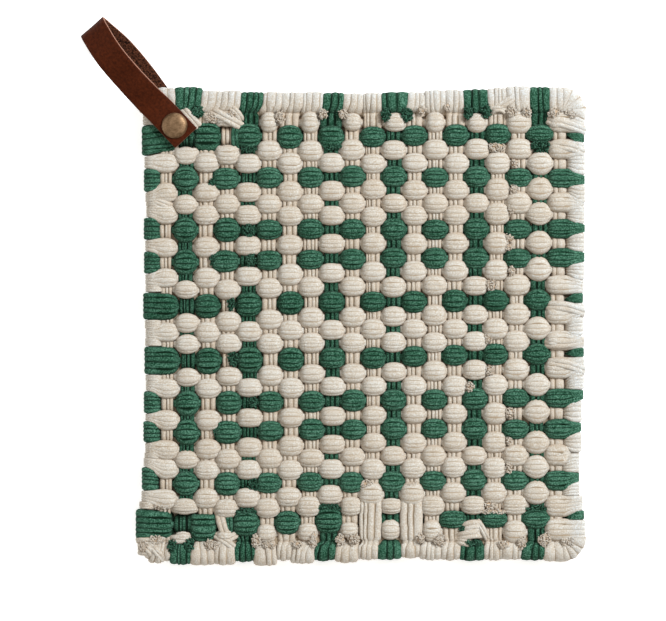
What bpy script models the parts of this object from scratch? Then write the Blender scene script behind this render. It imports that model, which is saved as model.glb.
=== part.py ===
"""Pot holder: a thick square of cotton strips in plain weave, with a leather hanging loop.

The pad is one solid.  Its top and underside carry the weave as a checkerboard of raised
pillows, where a weft bundle crosses over, and lower ribs, where a warp bundle crosses over,
inside a rolled hem.  A leather strap is folded round one corner and riveted through it.

Lengths are in millimetres until a mesh is made, and meshes are in metres.  The origin lies
under the middle of the pad, on the surface that it rests on.  +Z is up, +X runs along the
weft and +Y along the warp, towards the edge that has the strap.
"""

import math

import bmesh
import bpy
from mathutils import Vector

MM = 0.001
CLEARANCE = 0.3             # between neighbouring pieces

# The weave.
COLUMNS = 20                # warp bundles, left to right
COLUMN_PITCH = 9.46
FIRST_COLUMN_X = -92.3
ROW_PLACES = [              # weft bundles from the top edge down, evenly spaced between these
    {"row": 0, "y": 90.8},
    {"row": 3, "y": 71.8},
    {"row": 7, "y": 48.0},
    {"row": 10, "y": 28.1},
    {"row": 14, "y": 1.5},
    {"row": 16, "y": -10.3},
    {"row": 18, "y": -24.3},
    {"row": 23, "y": -56.9},
    {"row": 26, "y": -74.3},
    {"row": 30, "y": -97.4},
]
GREEN_COLUMNS = {1, 4, 8, 11, 15, 18}
GREEN_ROWS = {1, 4, 8, 10, 13, 17, 20, 22, 26, 29}

# The pad's relief: how far each feature lies below the level of the pillow tops.
PAD_THICKNESS = 10.0
RELIEF_DEPTH = {"pillow": 0.0, "rib": 2.0, "valley": 2.6, "crest": 0.8}
UNEVENNESS = 0.35           # the pillows' tops differ by this much
# Half size of each feature's flat patch, as a share of the column and row pitch.
PATCH = {
    "pillow": {"across": 0.36, "along": 0.44},
    "rib": {"across": 0.30, "along": 0.20},
    "hem": {"across": 0.38},
}

# The rolled hem across both ends, from the origin.
TOP_VALLEY_Y = 95.0
TOP_CREST_Y = 100.2
BOTTOM_VALLEY_Y = -101.4
BOTTOM_CREST_Y = -106.0

# How far the wavy edge reaches from the origin on each side.
SIDE_EDGES = [
    {"y": 94.0, "left": 103.2, "right": 99.8},
    {"y": 58.0, "left": 102.4, "right": 99.3},
    {"y": -2.0, "left": 102.5, "right": 98.7},
    {"y": -47.0, "left": 102.2, "right": 97.6},
    {"y": -74.0, "left": 103.0, "right": 97.3},
    {"y": -92.0, "left": 106.2, "right": 100.3},
    {"y": -102.0, "left": 105.8, "right": 100.4},
]
END_EDGES = [
    {"x": -93.0, "top": 106.6, "bottom": 111.7},
    {"x": -63.0, "top": 106.0, "bottom": 112.2},
    {"x": -31.0, "top": 104.8, "bottom": 110.8},
    {"x": 4.0, "top": 104.2, "bottom": 109.3},
    {"x": 21.0, "top": 104.6, "bottom": 108.2},
    {"x": 49.0, "top": 106.4, "bottom": 110.0},
    {"x": 87.0, "top": 107.4, "bottom": 111.3},
]
SCALLOP = 0.5               # bundles that turn round the edge stand out and in by this much
CORNER_REACH = 0.72         # share of both edges' reach at a corner, which rounds it
RIM_SHOULDER = {"out": 0.72, "height": 8.2}
RIM_OUTLINE_HEIGHT = 4.2

# The hanging strap, along its own line from the rivet to the fold.
RIVET_X, RIVET_Y = -88.0, 89.0
STRAP_DIRECTION = math.radians(130.3)
STRAP_WIDTH = 13.5
STRAP_THICKNESS = 1.8
STRAP_EDGE_CHAMFER = 0.3
STRAP_STATIONS = [          # the middle of the strip; roll raises its right-hand edge
    {"along": -7.6, "side": 0.5, "height": 1.9, "roll": 0},
    {"along": 8.0, "side": 0.3, "height": 1.9, "roll": 0},
    {"along": 18.0, "side": 0.6, "height": 2.0, "roll": 2},
    {"along": 30.0, "side": 2.0, "height": 2.7, "roll": 9},
    {"along": 43.0, "side": 2.8, "height": 3.7, "roll": 14},
    {"along": 54.0, "side": 1.5, "height": 5.2, "roll": 11},
    {"along": 58.5, "side": 0.5, "height": 9.0, "roll": 8},
    {"along": 54.0, "side": -0.6, "height": 12.9, "roll": 11},
    {"along": 43.0, "side": -1.7, "height": 14.8, "roll": 14},
    {"along": 30.0, "side": -1.1, "height": 13.4, "roll": 9},
    {"along": 18.0, "side": 0.0, "height": 11.2, "roll": 2},
    {"along": 8.0, "side": 0.3, "height": 10.8, "roll": 0},
    {"along": -7.6, "side": 0.5, "height": 10.8, "roll": 0},
]
STEPS_PER_STATION = 4

# Where the strap's halves press into the corner of the pad.
SEAT_TOP = 9.6
SEAT_UNDERSIDE = 3.1
SEAT_MARGIN = 5.0
SEAT_RAMP = 10.0

# The rivet: a domed cap with its post, and a flat back.
POST_RADIUS = 2.0
POST_FOOT = 1.0
CAP_RADIUS = 5.85
CAP_BASE = 12.0
CAP_RIM = 0.6
CAP_CROWN = 1.35
BACK_RADIUS = 4.6
BACK_THICKNESS = 0.7
RIVET_SIDES = 32
DOME_STEPS = 5

COLOURS = {
    "cotton_cream": {"colour": (0.74, 0.66, 0.57), "roughness": 0.9, "metallic": 0.0},
    "cotton_green": {"colour": (0.028, 0.165, 0.088), "roughness": 0.9, "metallic": 0.0},
    "strap_leather": {"colour": (0.10, 0.022, 0.010), "roughness": 0.5, "metallic": 0.0},
    "antique_brass": {"colour": (0.52, 0.36, 0.20), "roughness": 0.38, "metallic": 1.0},
}


def clear_scene():
    for thing in list(bpy.data.objects):
        bpy.data.objects.remove(thing, do_unlink=True)


def make_material(name):
    look = COLOURS[name]
    material = bpy.data.materials.new(name)
    material.use_nodes = True
    shader = material.node_tree.nodes["Principled BSDF"]
    shader.inputs["Base Color"].default_value = (*look["colour"], 1.0)
    shader.inputs["Roughness"].default_value = look["roughness"]
    shader.inputs["Metallic"].default_value = look["metallic"]
    return material


def make_object(name, vertices, faces, materials, sharp_degrees=50.0):
    """Build one closed mesh from points in millimetres, with its faces pointing out."""
    mesh = bpy.data.meshes.new(name)
    mesh.from_pydata([Vector(v) * MM for v in vertices], [], faces)
    for material in materials:
        mesh.materials.append(material)
    shell = bmesh.new()
    shell.from_mesh(mesh)
    bmesh.ops.recalc_face_normals(shell, faces=shell.faces)
    shell.to_mesh(mesh)
    shell.free()
    mesh.shade_smooth()
    mesh.set_sharp_from_angle(angle=math.radians(sharp_degrees))
    thing = bpy.data.objects.new(name, mesh)
    bpy.context.scene.collection.objects.link(thing)
    return thing


def read_table(table, key, column, at, eased=True):
    """Return the column's value at this key, between one row of the table and the next."""
    rows = sorted(table, key=lambda row: row[key])
    if at <= rows[0][key]:
        return rows[0][column]
    for low, high in zip(rows, rows[1:]):
        if at <= high[key]:
            share = (at - low[key]) / (high[key] - low[key])
            if eased:
                share = share * share * (3.0 - 2.0 * share)
            return low[column] + share * (high[column] - low[column])
    return rows[-1][column]


# ---------------------------------------------------------------- the woven pad

def column_centres():
    return [FIRST_COLUMN_X + COLUMN_PITCH * c for c in range(COLUMNS)]


def row_centres():
    """Return each weft bundle's centre and its pitch, from the top edge down."""
    last_row = ROW_PLACES[-1]["row"]
    heights = [read_table(ROW_PLACES, "row", "y", row, eased=False) for row in range(last_row + 1)]
    rows = []
    for row, y in enumerate(heights):
        above = heights[max(row - 1, 0)]
        below = heights[min(row + 1, last_row)]
        gaps = 2 if 0 < row < last_row else 1
        rows.append({"y": y, "pitch": (above - below) / gaps})
    return rows


def weft_is_over(column, row, side):
    """Plain weave: on top the first row, row 0, shows over the odd columns, row 1 over the even."""
    over_on_top = (column + row) % 2 == 1
    return over_on_top if side == "top" else not over_on_top


def strap_axes():
    """Return the strap's own directions: towards the fold, and to its right."""
    forward = Vector((math.cos(STRAP_DIRECTION), math.sin(STRAP_DIRECTION), 0.0))
    right = Vector((forward.y, -forward.x, 0.0))
    return forward, right


def seat_share(x, y):
    """Return 1 where the strap lies against the pad, falling to 0 around it."""
    forward, right = strap_axes()
    offset = Vector((x - RIVET_X, y - RIVET_Y, 0.0))
    past_end = STRAP_STATIONS[0]["along"] - SEAT_MARGIN - offset.dot(forward)
    past_side = abs(offset.dot(right)) - STRAP_WIDTH / 2.0 - SEAT_MARGIN
    distance = math.hypot(max(past_end, 0.0), max(past_side, 0.0))
    share = max(0.0, 1.0 - distance / SEAT_RAMP)
    return share * share * (3.0 - 2.0 * share)


def surface_height(side, feature, x, y):
    """Return the height of a point on the top or the underside of the pad."""
    depth = RELIEF_DEPTH[feature]
    if side == "underside":
        seat = seat_share(x, y)
        return depth + seat * (SEAT_UNDERSIDE - depth)
    uneven = UNEVENNESS * (0.5 + 0.5 * math.sin(0.13 * x + 1.7 * math.sin(0.11 * y)))
    height = PAD_THICKNESS - depth - uneven
    return min(height, SEAT_TOP) if seat_share(x, y) > 0.0 else height


def surface_point(side, line_x, line_y):
    """Return one grid point.  Two grid lines follow each bundle, and two more each hem."""
    column, right_hand = divmod(line_x, 2)
    x_side = 1.0 if right_hand else -1.0
    x_centre = column_centres()[column]
    rows = row_centres()
    last_line = 2 * len(rows) + 3
    hem_lines = {
        0: (TOP_CREST_Y, "crest"),
        1: (TOP_VALLEY_Y, "valley"),
        last_line - 1: (BOTTOM_VALLEY_Y, "valley"),
        last_line: (BOTTOM_CREST_Y, "crest"),
    }
    if line_y in hem_lines:
        y, feature = hem_lines[line_y]
        x = x_centre + x_side * PATCH["hem"]["across"] * COLUMN_PITCH
    else:
        row, lower = divmod(line_y - 2, 2)
        feature = "pillow" if weft_is_over(column, row, side) else "rib"
        y_side = -1.0 if lower else 1.0
        x = x_centre + x_side * PATCH[feature]["across"] * COLUMN_PITCH
        y = rows[row]["y"] + y_side * PATCH[feature]["along"] * rows[row]["pitch"]
    return (x, y, surface_height(side, feature, x, y))


def bundle_is_green(side, line_x, line_y, last_line_y):
    """Say whether the face that starts at this pair of grid lines shows a green bundle."""
    column = min(line_x // 2, COLUMNS - 1)
    if line_y < 2 or line_y >= last_line_y - 2:
        return column in GREEN_COLUMNS
    row, between_rows = divmod(line_y - 2, 2)
    between_columns = line_x % 2
    over = weft_is_over(column, row, side)
    if between_columns:
        return row in GREEN_ROWS
    if over:
        return row in GREEN_ROWS
    if between_rows:
        return row + 1 in GREEN_ROWS
    return column in GREEN_COLUMNS


def rim_targets(boundary):
    """Return how far each boundary point moves to reach the pad's wavy outline."""
    last_x = 2 * COLUMNS - 1
    last_y = max(line_y for _, line_y in boundary)
    targets = []
    for line_x, line_y in boundary:
        x, y, _ = surface_point("top", line_x, line_y)
        out_x = out_y = 0.0
        row_wave = SCALLOP if (line_y // 2) % 2 else -SCALLOP
        column_wave = SCALLOP if (line_x // 2) % 2 else -SCALLOP
        if line_x == 0:
            out_x = -read_table(SIDE_EDGES, "y", "left", y) - row_wave - x
        if line_x == last_x:
            out_x = read_table(SIDE_EDGES, "y", "right", y) + row_wave - x
        if line_y == 0:
            out_y = read_table(END_EDGES, "x", "top", x) + column_wave - y
        if line_y == last_y:
            out_y = -read_table(END_EDGES, "x", "bottom", x) - column_wave - y
        if out_x and out_y:
            out_x *= CORNER_REACH
            out_y *= CORNER_REACH
        targets.append((out_x, out_y))
    return targets


def build_pad(cream, green):
    lines_x = 2 * COLUMNS
    lines_y = 2 * len(row_centres()) + 4
    last_x, last_y = lines_x - 1, lines_y - 1
    vertices, faces, colours = [], [], []
    index = {}

    def add_vertex(key, point):
        index[key] = len(vertices)
        vertices.append(point)

    for side in ("top", "underside"):
        for line_y in range(lines_y):
            for line_x in range(lines_x):
                add_vertex((side, line_x, line_y), surface_point(side, line_x, line_y))
        for line_y in range(last_y):
            for line_x in range(last_x):
                corners = [(line_x, line_y), (line_x, line_y + 1),
                           (line_x + 1, line_y + 1), (line_x + 1, line_y)]
                faces.append([index[(side, *corner)] for corner in corners])
                colours.append(bundle_is_green(side, line_x, line_y, last_y))

    boundary = [(line_x, 0) for line_x in range(last_x)]
    boundary += [(last_x, line_y) for line_y in range(last_y)]
    boundary += [(line_x, last_y) for line_x in range(last_x, 0, -1)]
    boundary += [(0, line_y) for line_y in range(last_y, 0, -1)]
    for (line_x, line_y), (out_x, out_y) in zip(boundary, rim_targets(boundary)):
        x, y, z = surface_point("top", line_x, line_y)
        shoulder = (x + RIM_SHOULDER["out"] * out_x, y + RIM_SHOULDER["out"] * out_y,
                    min(z, RIM_SHOULDER["height"]))
        add_vertex(("shoulder", line_x, line_y), shoulder)
        add_vertex(("outline", line_x, line_y), (x + out_x, y + out_y, RIM_OUTLINE_HEIGHT))
    rings = ("top", "shoulder", "outline", "underside")
    for here, there in zip(boundary, boundary[1:] + boundary[:1]):
        line_x, line_y = min(here, there)
        for upper, lower in zip(rings, rings[1:]):
            faces.append([index[(upper, *here)], index[(upper, *there)],
                          index[(lower, *there)], index[(lower, *here)]])
            colours.append(bundle_is_green("top", line_x, line_y, last_y))

    pad = make_object("woven_pad", vertices, faces, [cream, green])
    for polygon, is_green in zip(pad.data.polygons, colours):
        polygon.material_index = int(is_green)
    return pad


# ---------------------------------------------------------------- the leather strap

def through_stations(column):
    """Return one column of the strap's table, eased through its rows by a smooth curve."""
    values = [station[column] for station in STRAP_STATIONS]
    padded = [values[0]] + values + [values[-1]]
    points = []
    for before, start, end, after in zip(padded, padded[1:], padded[2:], padded[3:]):
        for step in range(STEPS_PER_STATION):
            t = step / STEPS_PER_STATION
            points.append(0.5 * (
                2.0 * start
                + (end - before) * t
                + (2.0 * before - 5.0 * start + 4.0 * end - after) * t ** 2
                + (3.0 * start - before - 3.0 * end + after) * t ** 3))
    return points + [values[-1]]


def strap_centreline():
    """Return the strip's middle points with the sideways direction at each."""
    forward, right = strap_axes()
    rivet = Vector((RIVET_X, RIVET_Y, 0.0))
    up = Vector((0.0, 0.0, 1.0))
    columns = [through_stations(name) for name in ("along", "side", "height", "roll")]
    centres, widths = [], []
    for along, side, height, roll in zip(*columns):
        centres.append(rivet + forward * along + right * side + up * height)
        angle = math.radians(roll)
        widths.append(right * math.cos(angle) + up * math.sin(angle))
    return centres, widths


def strap_section():
    """Return the strip's section with chamfered edges, as (sideways, outward) pairs."""
    half_width = STRAP_WIDTH / 2.0
    half_thickness = STRAP_THICKNESS / 2.0
    cut = STRAP_EDGE_CHAMFER
    quarter = [(half_width, half_thickness - cut), (half_width - cut, half_thickness)]
    upper = quarter + [(-a, b) for a, b in reversed(quarter)]
    return upper + [(-a, -b) for a, b in upper]


def build_strap(leather):
    centres, widths = strap_centreline()
    section = strap_section()
    sides = len(section)
    vertices, faces = [], []
    for place, centre in enumerate(centres):
        behind = centres[max(place - 1, 0)]
        ahead = centres[min(place + 1, len(centres) - 1)]
        tangent = (ahead - behind).normalized()
        width = (widths[place] - tangent * widths[place].dot(tangent)).normalized()
        outward = tangent.cross(width)
        vertices += [centre + width * a + outward * b for a, b in section]
    for ring in range(len(centres) - 1):
        for side in range(sides):
            following = (side + 1) % sides
            faces.append([ring * sides + side, ring * sides + following,
                          (ring + 1) * sides + following, (ring + 1) * sides + side])
    faces.append(list(range(sides)))
    faces.append(list(range(len(vertices) - sides, len(vertices))))
    return make_object("leather_strap", vertices, faces, [leather])


# ---------------------------------------------------------------- the rivet

def turned_piece(name, profile, material):
    """Turn a profile of (radius, height) pairs, from the bottom up, about the rivet's axis."""
    vertices = [(RIVET_X, RIVET_Y, profile[0][1])]
    rings = []
    for radius, height in profile[1:-1]:
        rings.append(len(vertices))
        for step in range(RIVET_SIDES):
            angle = 2.0 * math.pi * step / RIVET_SIDES
            vertices.append((RIVET_X + radius * math.cos(angle),
                             RIVET_Y + radius * math.sin(angle), height))
    top = len(vertices)
    vertices.append((RIVET_X, RIVET_Y, profile[-1][1]))
    faces = []
    for step in range(RIVET_SIDES):
        following = (step + 1) % RIVET_SIDES
        faces.append([0, rings[0] + following, rings[0] + step])
        for lower, upper in zip(rings, rings[1:]):
            faces.append([lower + step, lower + following, upper + following, upper + step])
        faces.append([rings[-1] + step, rings[-1] + following, top])
    return make_object(name, vertices, faces, [material], sharp_degrees=40.0)


def build_rivet(brass):
    edge = CAP_BASE + CAP_RIM
    dome = []
    for step in range(1, DOME_STEPS):
        angle = math.pi / 2.0 * step / DOME_STEPS
        dome.append((CAP_RADIUS * math.cos(angle), edge + CAP_CROWN * math.sin(angle)))
    cap_profile = [
        (0.0, POST_FOOT), (POST_RADIUS, POST_FOOT), (POST_RADIUS, CAP_BASE),
        (CAP_RADIUS - CAP_RIM / 2.0, CAP_BASE), (CAP_RADIUS, CAP_BASE + CAP_RIM / 2.0),
        (CAP_RADIUS, edge), *dome, (0.0, edge + CAP_CROWN),
    ]
    back_profile = [
        (0.0, 0.0), (BACK_RADIUS - CLEARANCE, 0.0), (BACK_RADIUS, BACK_THICKNESS / 2.0),
        (BACK_RADIUS - CLEARANCE, BACK_THICKNESS), (0.0, BACK_THICKNESS),
    ]
    turned_piece("rivet_cap", cap_profile, brass)
    turned_piece("rivet_back", back_profile, brass)


def cut_post_hole(pieces):
    """Cut the post's hole through each piece."""
    hole_radius = POST_RADIUS + CLEARANCE
    hole_top = CAP_BASE + CAP_CROWN
    profile = [(0.0, -1.0), (hole_radius, -1.0), (hole_radius, hole_top), (0.0, hole_top)]
    cutter = turned_piece("post_hole_cutter", profile, None)
    cutter.hide_render = True
    cutter.display_type = "WIRE"
    for piece in pieces:
        cut = piece.modifiers.new("post_hole", "BOOLEAN")
        cut.operation = "DIFFERENCE"
        cut.solver = "EXACT"
        cut.object = cutter


def main():
    clear_scene()
    materials = {name: make_material(name) for name in COLOURS}
    pad = build_pad(materials["cotton_cream"], materials["cotton_green"])
    strap = build_strap(materials["strap_leather"])
    build_rivet(materials["antique_brass"])
    cut_post_hole([pad, strap])


main()
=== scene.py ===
"""The looks of the woven pot holder: cotton strands, leather loop, brass rivet, light and camera.

Lengths are in millimetres until a mesh is made, and in metres in materials and the studio.
Heights are measured from the surface that the pad rests on, and places in the plane from the
frame's origin.  Columns are the warp bundles, left to right, and rows the weft bundles, from
the top edge down, both from 0.  "across" and "down" are always pixels of the photograph.
"""
import math

import bpy
import numpy as np
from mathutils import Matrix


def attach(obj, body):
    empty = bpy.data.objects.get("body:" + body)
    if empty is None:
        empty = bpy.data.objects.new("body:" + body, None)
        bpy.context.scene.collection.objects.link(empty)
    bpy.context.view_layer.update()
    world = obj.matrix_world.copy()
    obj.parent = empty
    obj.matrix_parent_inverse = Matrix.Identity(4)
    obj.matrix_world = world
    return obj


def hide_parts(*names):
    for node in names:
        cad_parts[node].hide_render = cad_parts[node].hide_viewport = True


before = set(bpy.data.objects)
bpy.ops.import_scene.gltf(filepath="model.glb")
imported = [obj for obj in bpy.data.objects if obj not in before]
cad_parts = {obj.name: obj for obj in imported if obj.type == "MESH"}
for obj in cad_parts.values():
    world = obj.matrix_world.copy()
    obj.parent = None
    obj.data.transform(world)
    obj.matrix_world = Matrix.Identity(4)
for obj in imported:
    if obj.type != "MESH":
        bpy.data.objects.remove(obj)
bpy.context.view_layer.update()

MM = 0.001

# The photograph's scale: a pixel on the pad, and the pixel over the origin.
PIXEL = 0.458
PIXEL_OVER_ORIGIN = (367.1, 320.3)
PHOTO_SIZE = (666, 621)


def from_photo(across, down):
    """Return the place on the pad, in millimetres, that a pixel of the photograph shows."""
    return np.array([(across - PIXEL_OVER_ORIGIN[0]) * PIXEL, (PIXEL_OVER_ORIGIN[1] - down) * PIXEL])


def named_rows(names, rows):
    """Return each row of values as a dictionary by these names."""
    return [dict(zip(names.split(), row)) for row in rows]


# ---------------------------------------------------------------- the weave's own sizes

COLUMNS = 20
COLUMN_PITCH = 9.46
FIRST_COLUMN_X = -92.3
COLUMN_NUDGES = {18: 0.7}   # where a column lies to the right of the even pitch

# The pixels down to each weft bundle, where it passes three places across the pad.
ROW_STATIONS = {"left": 196, "middle": 351, "right": 537}
ROW_PLACES = named_rows("left middle right", [
    (122, 122, 122), (136, 137, 133), (151, 150, 149), (163, 163, 163),
    (179, 176.5, 177.5), (193, 190, 189), (204.5, 203.5, 202.5), (214.5, 216, 214),
    (229.5, 229.5, 228.5), (247.5, 243, 243), (262, 258.5, 257.5), (278, 272, 269.5),
    (289, 287, 284), (306, 302, 300), (323, 316.5, 314), (332, 329.5, 328.5),
    (344, 343, 341), (361, 358, 354), (378, 373, 368.5), (388, 387, 385),
    (403, 401, 398), (420, 415.5, 412.5), (433, 429.5, 429), (450.5, 443.5, 442),
    (460, 457, 455), (470, 469.5, 467), (484, 482, 480), (499.5, 494.5, 493),
    (509, 506, 505), (525, 520.5, 519), (538, 530.5, 532),
])
ROWS = len(ROW_PLACES)
GREEN_COLUMNS = {1, 4, 8, 11, 15, 18}
GREEN_ROWS = {1, 4, 8, 10, 13, 17, 20, 22, 26, 29}
MIDDLE_HEIGHT = 5.0         # of the pad's thickness

# How many pixels the warp bundles stray to the right on their way down, at three places across.
STRAY_STATIONS = {"left": 206, "middle": 351, "right": 517}
STRAYS = named_rows("down left middle right", [
    (122, 0.0, 0.0, 2.0), (163, -0.5, 0.8, 2.2),
    (203, -1.0, 1.2, 1.5), (258, -1.2, 1.0, 0.6),
    (300, 0.0, 1.0, -0.5), (370, 1.3, 1.8, -1.0),
    (430, 0.8, 2.0, -1.5), (470, 0.0, 0.8, -2.0),
    (500, -1.0, -1.3, -1.8), (535, -3.5, -2.4, -2.0),
])

# How far the wavy side edges reach from the origin, at some places up the pad.
SIDE_EDGES = named_rows("y left right", [
    (94.0, 103.4, 99.9), (58.0, 102.1, 100.1), (-2.0, 102.3, 99.6),
    (-30.0, 102.0, 99.9), (-47.0, 102.2, 98.6), (-74.0, 103.0, 97.3),
    (-92.0, 106.2, 100.3), (-102.0, 105.8, 100.4),
])

# A weft bundle where it crosses over: its strands lie on an arc across the bundle.
WEFT_STRANDS = {"green": (5,), "cream": (4, 5, 4)}
WEFT_ARC = math.radians(64.0)
WEFT_HALF_SPAN = 4.1        # across the bundle, to a strand at 90 degrees
WEFT_CORE_RISE = 1.1
WEFT_CROWN = 2.9
WEFT_HALF_HEIGHT = 1.05
WEFT_OVERLAP = 1.6
WEFT_CREASE = 0.74          # of a strand's half height, where it meets the next
WEFT_LEAST_HALF_WIDTH = 0.28
WEFT_FLATTENING = 0.14      # of a strand's height, which it loses where the bundle dives
WEFT_SHARPNESS = 0.35       # the smaller, the more squarely a bundle dives
WEFT_OVER_REACH = 0.58      # of a column's pitch, from a crossing over to where it dives
WEFT_OVER_WIDTH = 0.95      # a crossing over is this much of the width that its reach gives it
WIDE_COLUMNS = {18: 1.13}   # where all crossings over are wider than that
WEFT_UNDER_SPREAD = 0.8
WEFT_LEAST_SPREAD = 0.25    # of the span, where it dives
WEFT_TAPER = 0.5            # 0.5 rounds a crossing's outline and more makes it pointed
ODD_TIPS = {                # the least spread and the taper in columns unlike the others
    1: (0.14, 0.7),
    4: (0.42, 0.5),
    8: (0.42, 0.5),
    18: (0.10, 0.95),
}
WEFT_HEART_RISE = 1.3       # of the strand inside a bundle, which shows only where it dives
WEFT_HEART_HALF_WIDTH = 2.3
WEFT_HEART_HALF_HEIGHT = 2.1

# How unlike each other the crossings and the strands are: the usual size of a chance change.
TALL_CHANCE = 0.035         # of a crossing's height
PLACE_CHANCE = 0.2
LIFT_CHANCE = 0.16
EDGE_CHANCE = 0.15
WARP_PLACE_CHANCE = 0.15
WARP_WANDER = 0.1
HEM_LIFT_CHANCE = 0.15
HEM_REACH_CHANCE = 0.08
CORNER_CHANCE = 0.25

# How full the weft is over each warp column, against one that is 8.8 mm tall.
COLUMN_FULLNESS = {
    "cream": (1.0, 0.97, 1.05, 1.03, 0.98, 1.06, 1.08, 1.03, 0.98, 1.04,
              1.06, 1.0, 1.05, 1.05, 1.08, 1.0, 1.15, 1.12, 1.24, 1.02),
    "green": (1.45, 1.40, 1.38, 1.28, 1.36, 1.10, 1.22, 1.08, 1.15, 1.10,
              1.12, 1.12, 1.15, 1.08, 1.15, 1.15, 1.13, 1.04, 1.15, 1.0),
}
ODD_CROSSINGS = {           # weft crossings unlike their neighbours, with pixels right and down
    (0, 1): {"tall": 1.08, "down": 2},
    (2, 1): {"tall": 1.2, "wide": 1.06, "tip": (0.6, 0.4)},
    (1, 2): {"tall": 0.87, "down": 4.5},
    (3, 2): {"tall": 0.92, "down": 5},
    (3, 0): {"tall": 0.75, "down": -3},
    (18, 1): {"tall": 0.85, "wide": 1.1},
    (1, 0): {"tall": 0.8, "wide": 0.85},
    (5, 0): {"tall": 0.95, "wide": 0.62},
    (7, 0): {"tall": 1.1, "wide": 0.68},
    (9, 0): {"tall": 0.85, "wide": 0.62, "right": 1},
    (11, 0): {"tall": 1.0, "wide": 0.85, "right": 2},
    (13, 0): {"tall": 1.0, "wide": 0.7},
    (15, 0): {"tall": 1.0, "wide": 0.75},
    (17, 0): {"tall": 1.05, "wide": 1.0},
    (3, 4): {"tall": 0.92, "wide": 1.1, "right": -2},
    (3, 10): {"tall": 0.95, "wide": 1.1, "right": -2},
    (3, 22): {"tall": 1.0, "wide": 1.08, "right": -1},
    (1, 28): {"tall": 0.85, "wide": 1.1, "down": -3},
    (19, 28): {"tall": 1.12, "down": 1},
    (0, 29): {"tall": 1.04, "wide": 0.86, "right": -2, "tip": (0.8, 0.4)},
    (2, 29): {"tall": 1.12, "wide": 1.08, "right": -1, "down": 4, "tip": (0.7, 0.4)},
    (4, 29): {"tall": 0.98, "wide": 1.08},
    (8, 29): {"tall": 1.2, "wide": 1.08},
    (14, 29): {"tall": 0.8, "wide": 1.1},
    (16, 29): {"tall": 0.85, "wide": 1.06},
    (18, 29): {"tall": 1.0, "wide": 1.1},
    (10, 27): {"tall": 1.2, "wide": 1.02},
    (12, 27): {"tall": 1.15, "wide": 1.0},
    (9, 28): {"tall": 0.95, "wide": 0.85, "right": 1},
    (11, 28): {"tall": 0.8, "wide": 0.85},
    (1, 30): {"tall": 0.55, "wide": 0.6},
    (3, 30): {"tall": 0.55, "wide": 0.6},
    (5, 30): {"tall": 0.88, "wide": 0.75},
    (7, 30): {"tall": 0.85, "wide": 0.78},
    (9, 30): {"tall": 0.75, "wide": 0.7},
    (11, 30): {"tall": 1.0, "wide": 0.75},
    (13, 30): {"tall": 1.0, "wide": 0.75},
    (15, 30): {"tall": 0.6, "wide": 0.7},
    (17, 30): {"tall": 1.08, "wide": 0.9},
    (19, 30): {"tall": 1.15, "down": -2.5},
}

# A warp bundle where it crosses over.
WARP_STRANDS = (3, 4, 3)
WARP_RISE = 1.75
WARP_HALF_SPAN = 3.3
WARP_SPREAD = 0.95          # of the half span, which the strands' middles are spread over
WARP_STOOP = 0.7            # how much lower the outer strands lie
WARP_HALF_HEIGHT = 1.25
WARP_OVERLAP = 1.15
WARP_CREASE = 0.71
WARP_LEAST_WEIGHT = 0.6     # of a warp strand, against others with up to 0.8 more
WARP_SHARPNESS = 0.9
NARROW_COLUMNS = {0: {"strands": 3, "half_span": 2.7, "shift": 0.15},
                  3: {"strands": 3, "half_span": 2.9, "shift": 0.0},
                  19: {"strands": 2, "half_span": 3.1, "shift": 0.0}}
FLOAT_COLUMNS = {10: 29, 12: 29}    # here the warp passes over this weft row as well
FLOAT_RISE = 3.0
FLOAT_HALF_SPAN = 5.1
HEM_HALF_SPANS = {"top": 4.3, "bottom": 4.0}    # of the ribs next to the hems
WIDE_RIBS = {               # half spans where a warp bundle shows wider at one row
    (1, 29): 4.4, (9, 29): 3.9, (11, 29): 4.6, (13, 29): 3.7,
    (4, 0): 4.8, (8, 0): 5.0, (12, 0): 3.7,
}

# The hem: warp strands that turn round the top and bottom edges.  Walls are the pixels across
# between one column's strands and the next at the very edge, and ends are the pixels down to it.
HEMS = {
    "top": {
        "row": 0, "outward": 1.0, "valley": 95.4, "pinch": 4.25, "lobe": 0.5,
        "walls": (152, 175, 202, 222, 241, 263.5, 282, 303, 323.5, 344, 363,
                  381.5, 408.5, 425, 446, 463.5, 488, 507, 529.5, 550, 563),
        "ends": (88, 87, 90.5, 90.5, 92, 92, 92, 92, 92.5, 93.5,
                 93, 92, 92, 90, 89.5, 89, 88, 86, 87, 87),
    },
    "bottom": {
        "row": ROWS - 1, "outward": -1.0, "valley": -101.6, "pinch": 3.75, "lobe": 0.8,
        "walls": (152, 170, 191, 214, 234, 255.5, 276.5, 290.5, 313, 335, 357,
                  378, 401, 420, 441, 460, 484, 503, 522, 545, 567),
        "ends": (562, 565, 565.5, 565.5, 562, 566, 561, 564, 561, 563,
                 560, 560, 558, 560.5, 560.5, 561, 560.5, 560, 560.5, 562),
    },
}
HEM_RISE = 3.4
HEM_DIP = 1.0               # the height over the pad's middle that the strands fall to in the valley
FLOAT_DIP = 2.4
HEM_RUN_IN = 1.2            # before the valley, where the strands begin to turn down
HEM_TUCK = 0.9              # past the valley on the other face, where they end
HEM_OVERLAP = 1.4
HEM_STOOP = 0.9             # how much lower the outer strands of a hem's bundle lie
HEM_FOLD = 0.55             # how much further out the cloth reaches than its hem's pixels show

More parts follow.
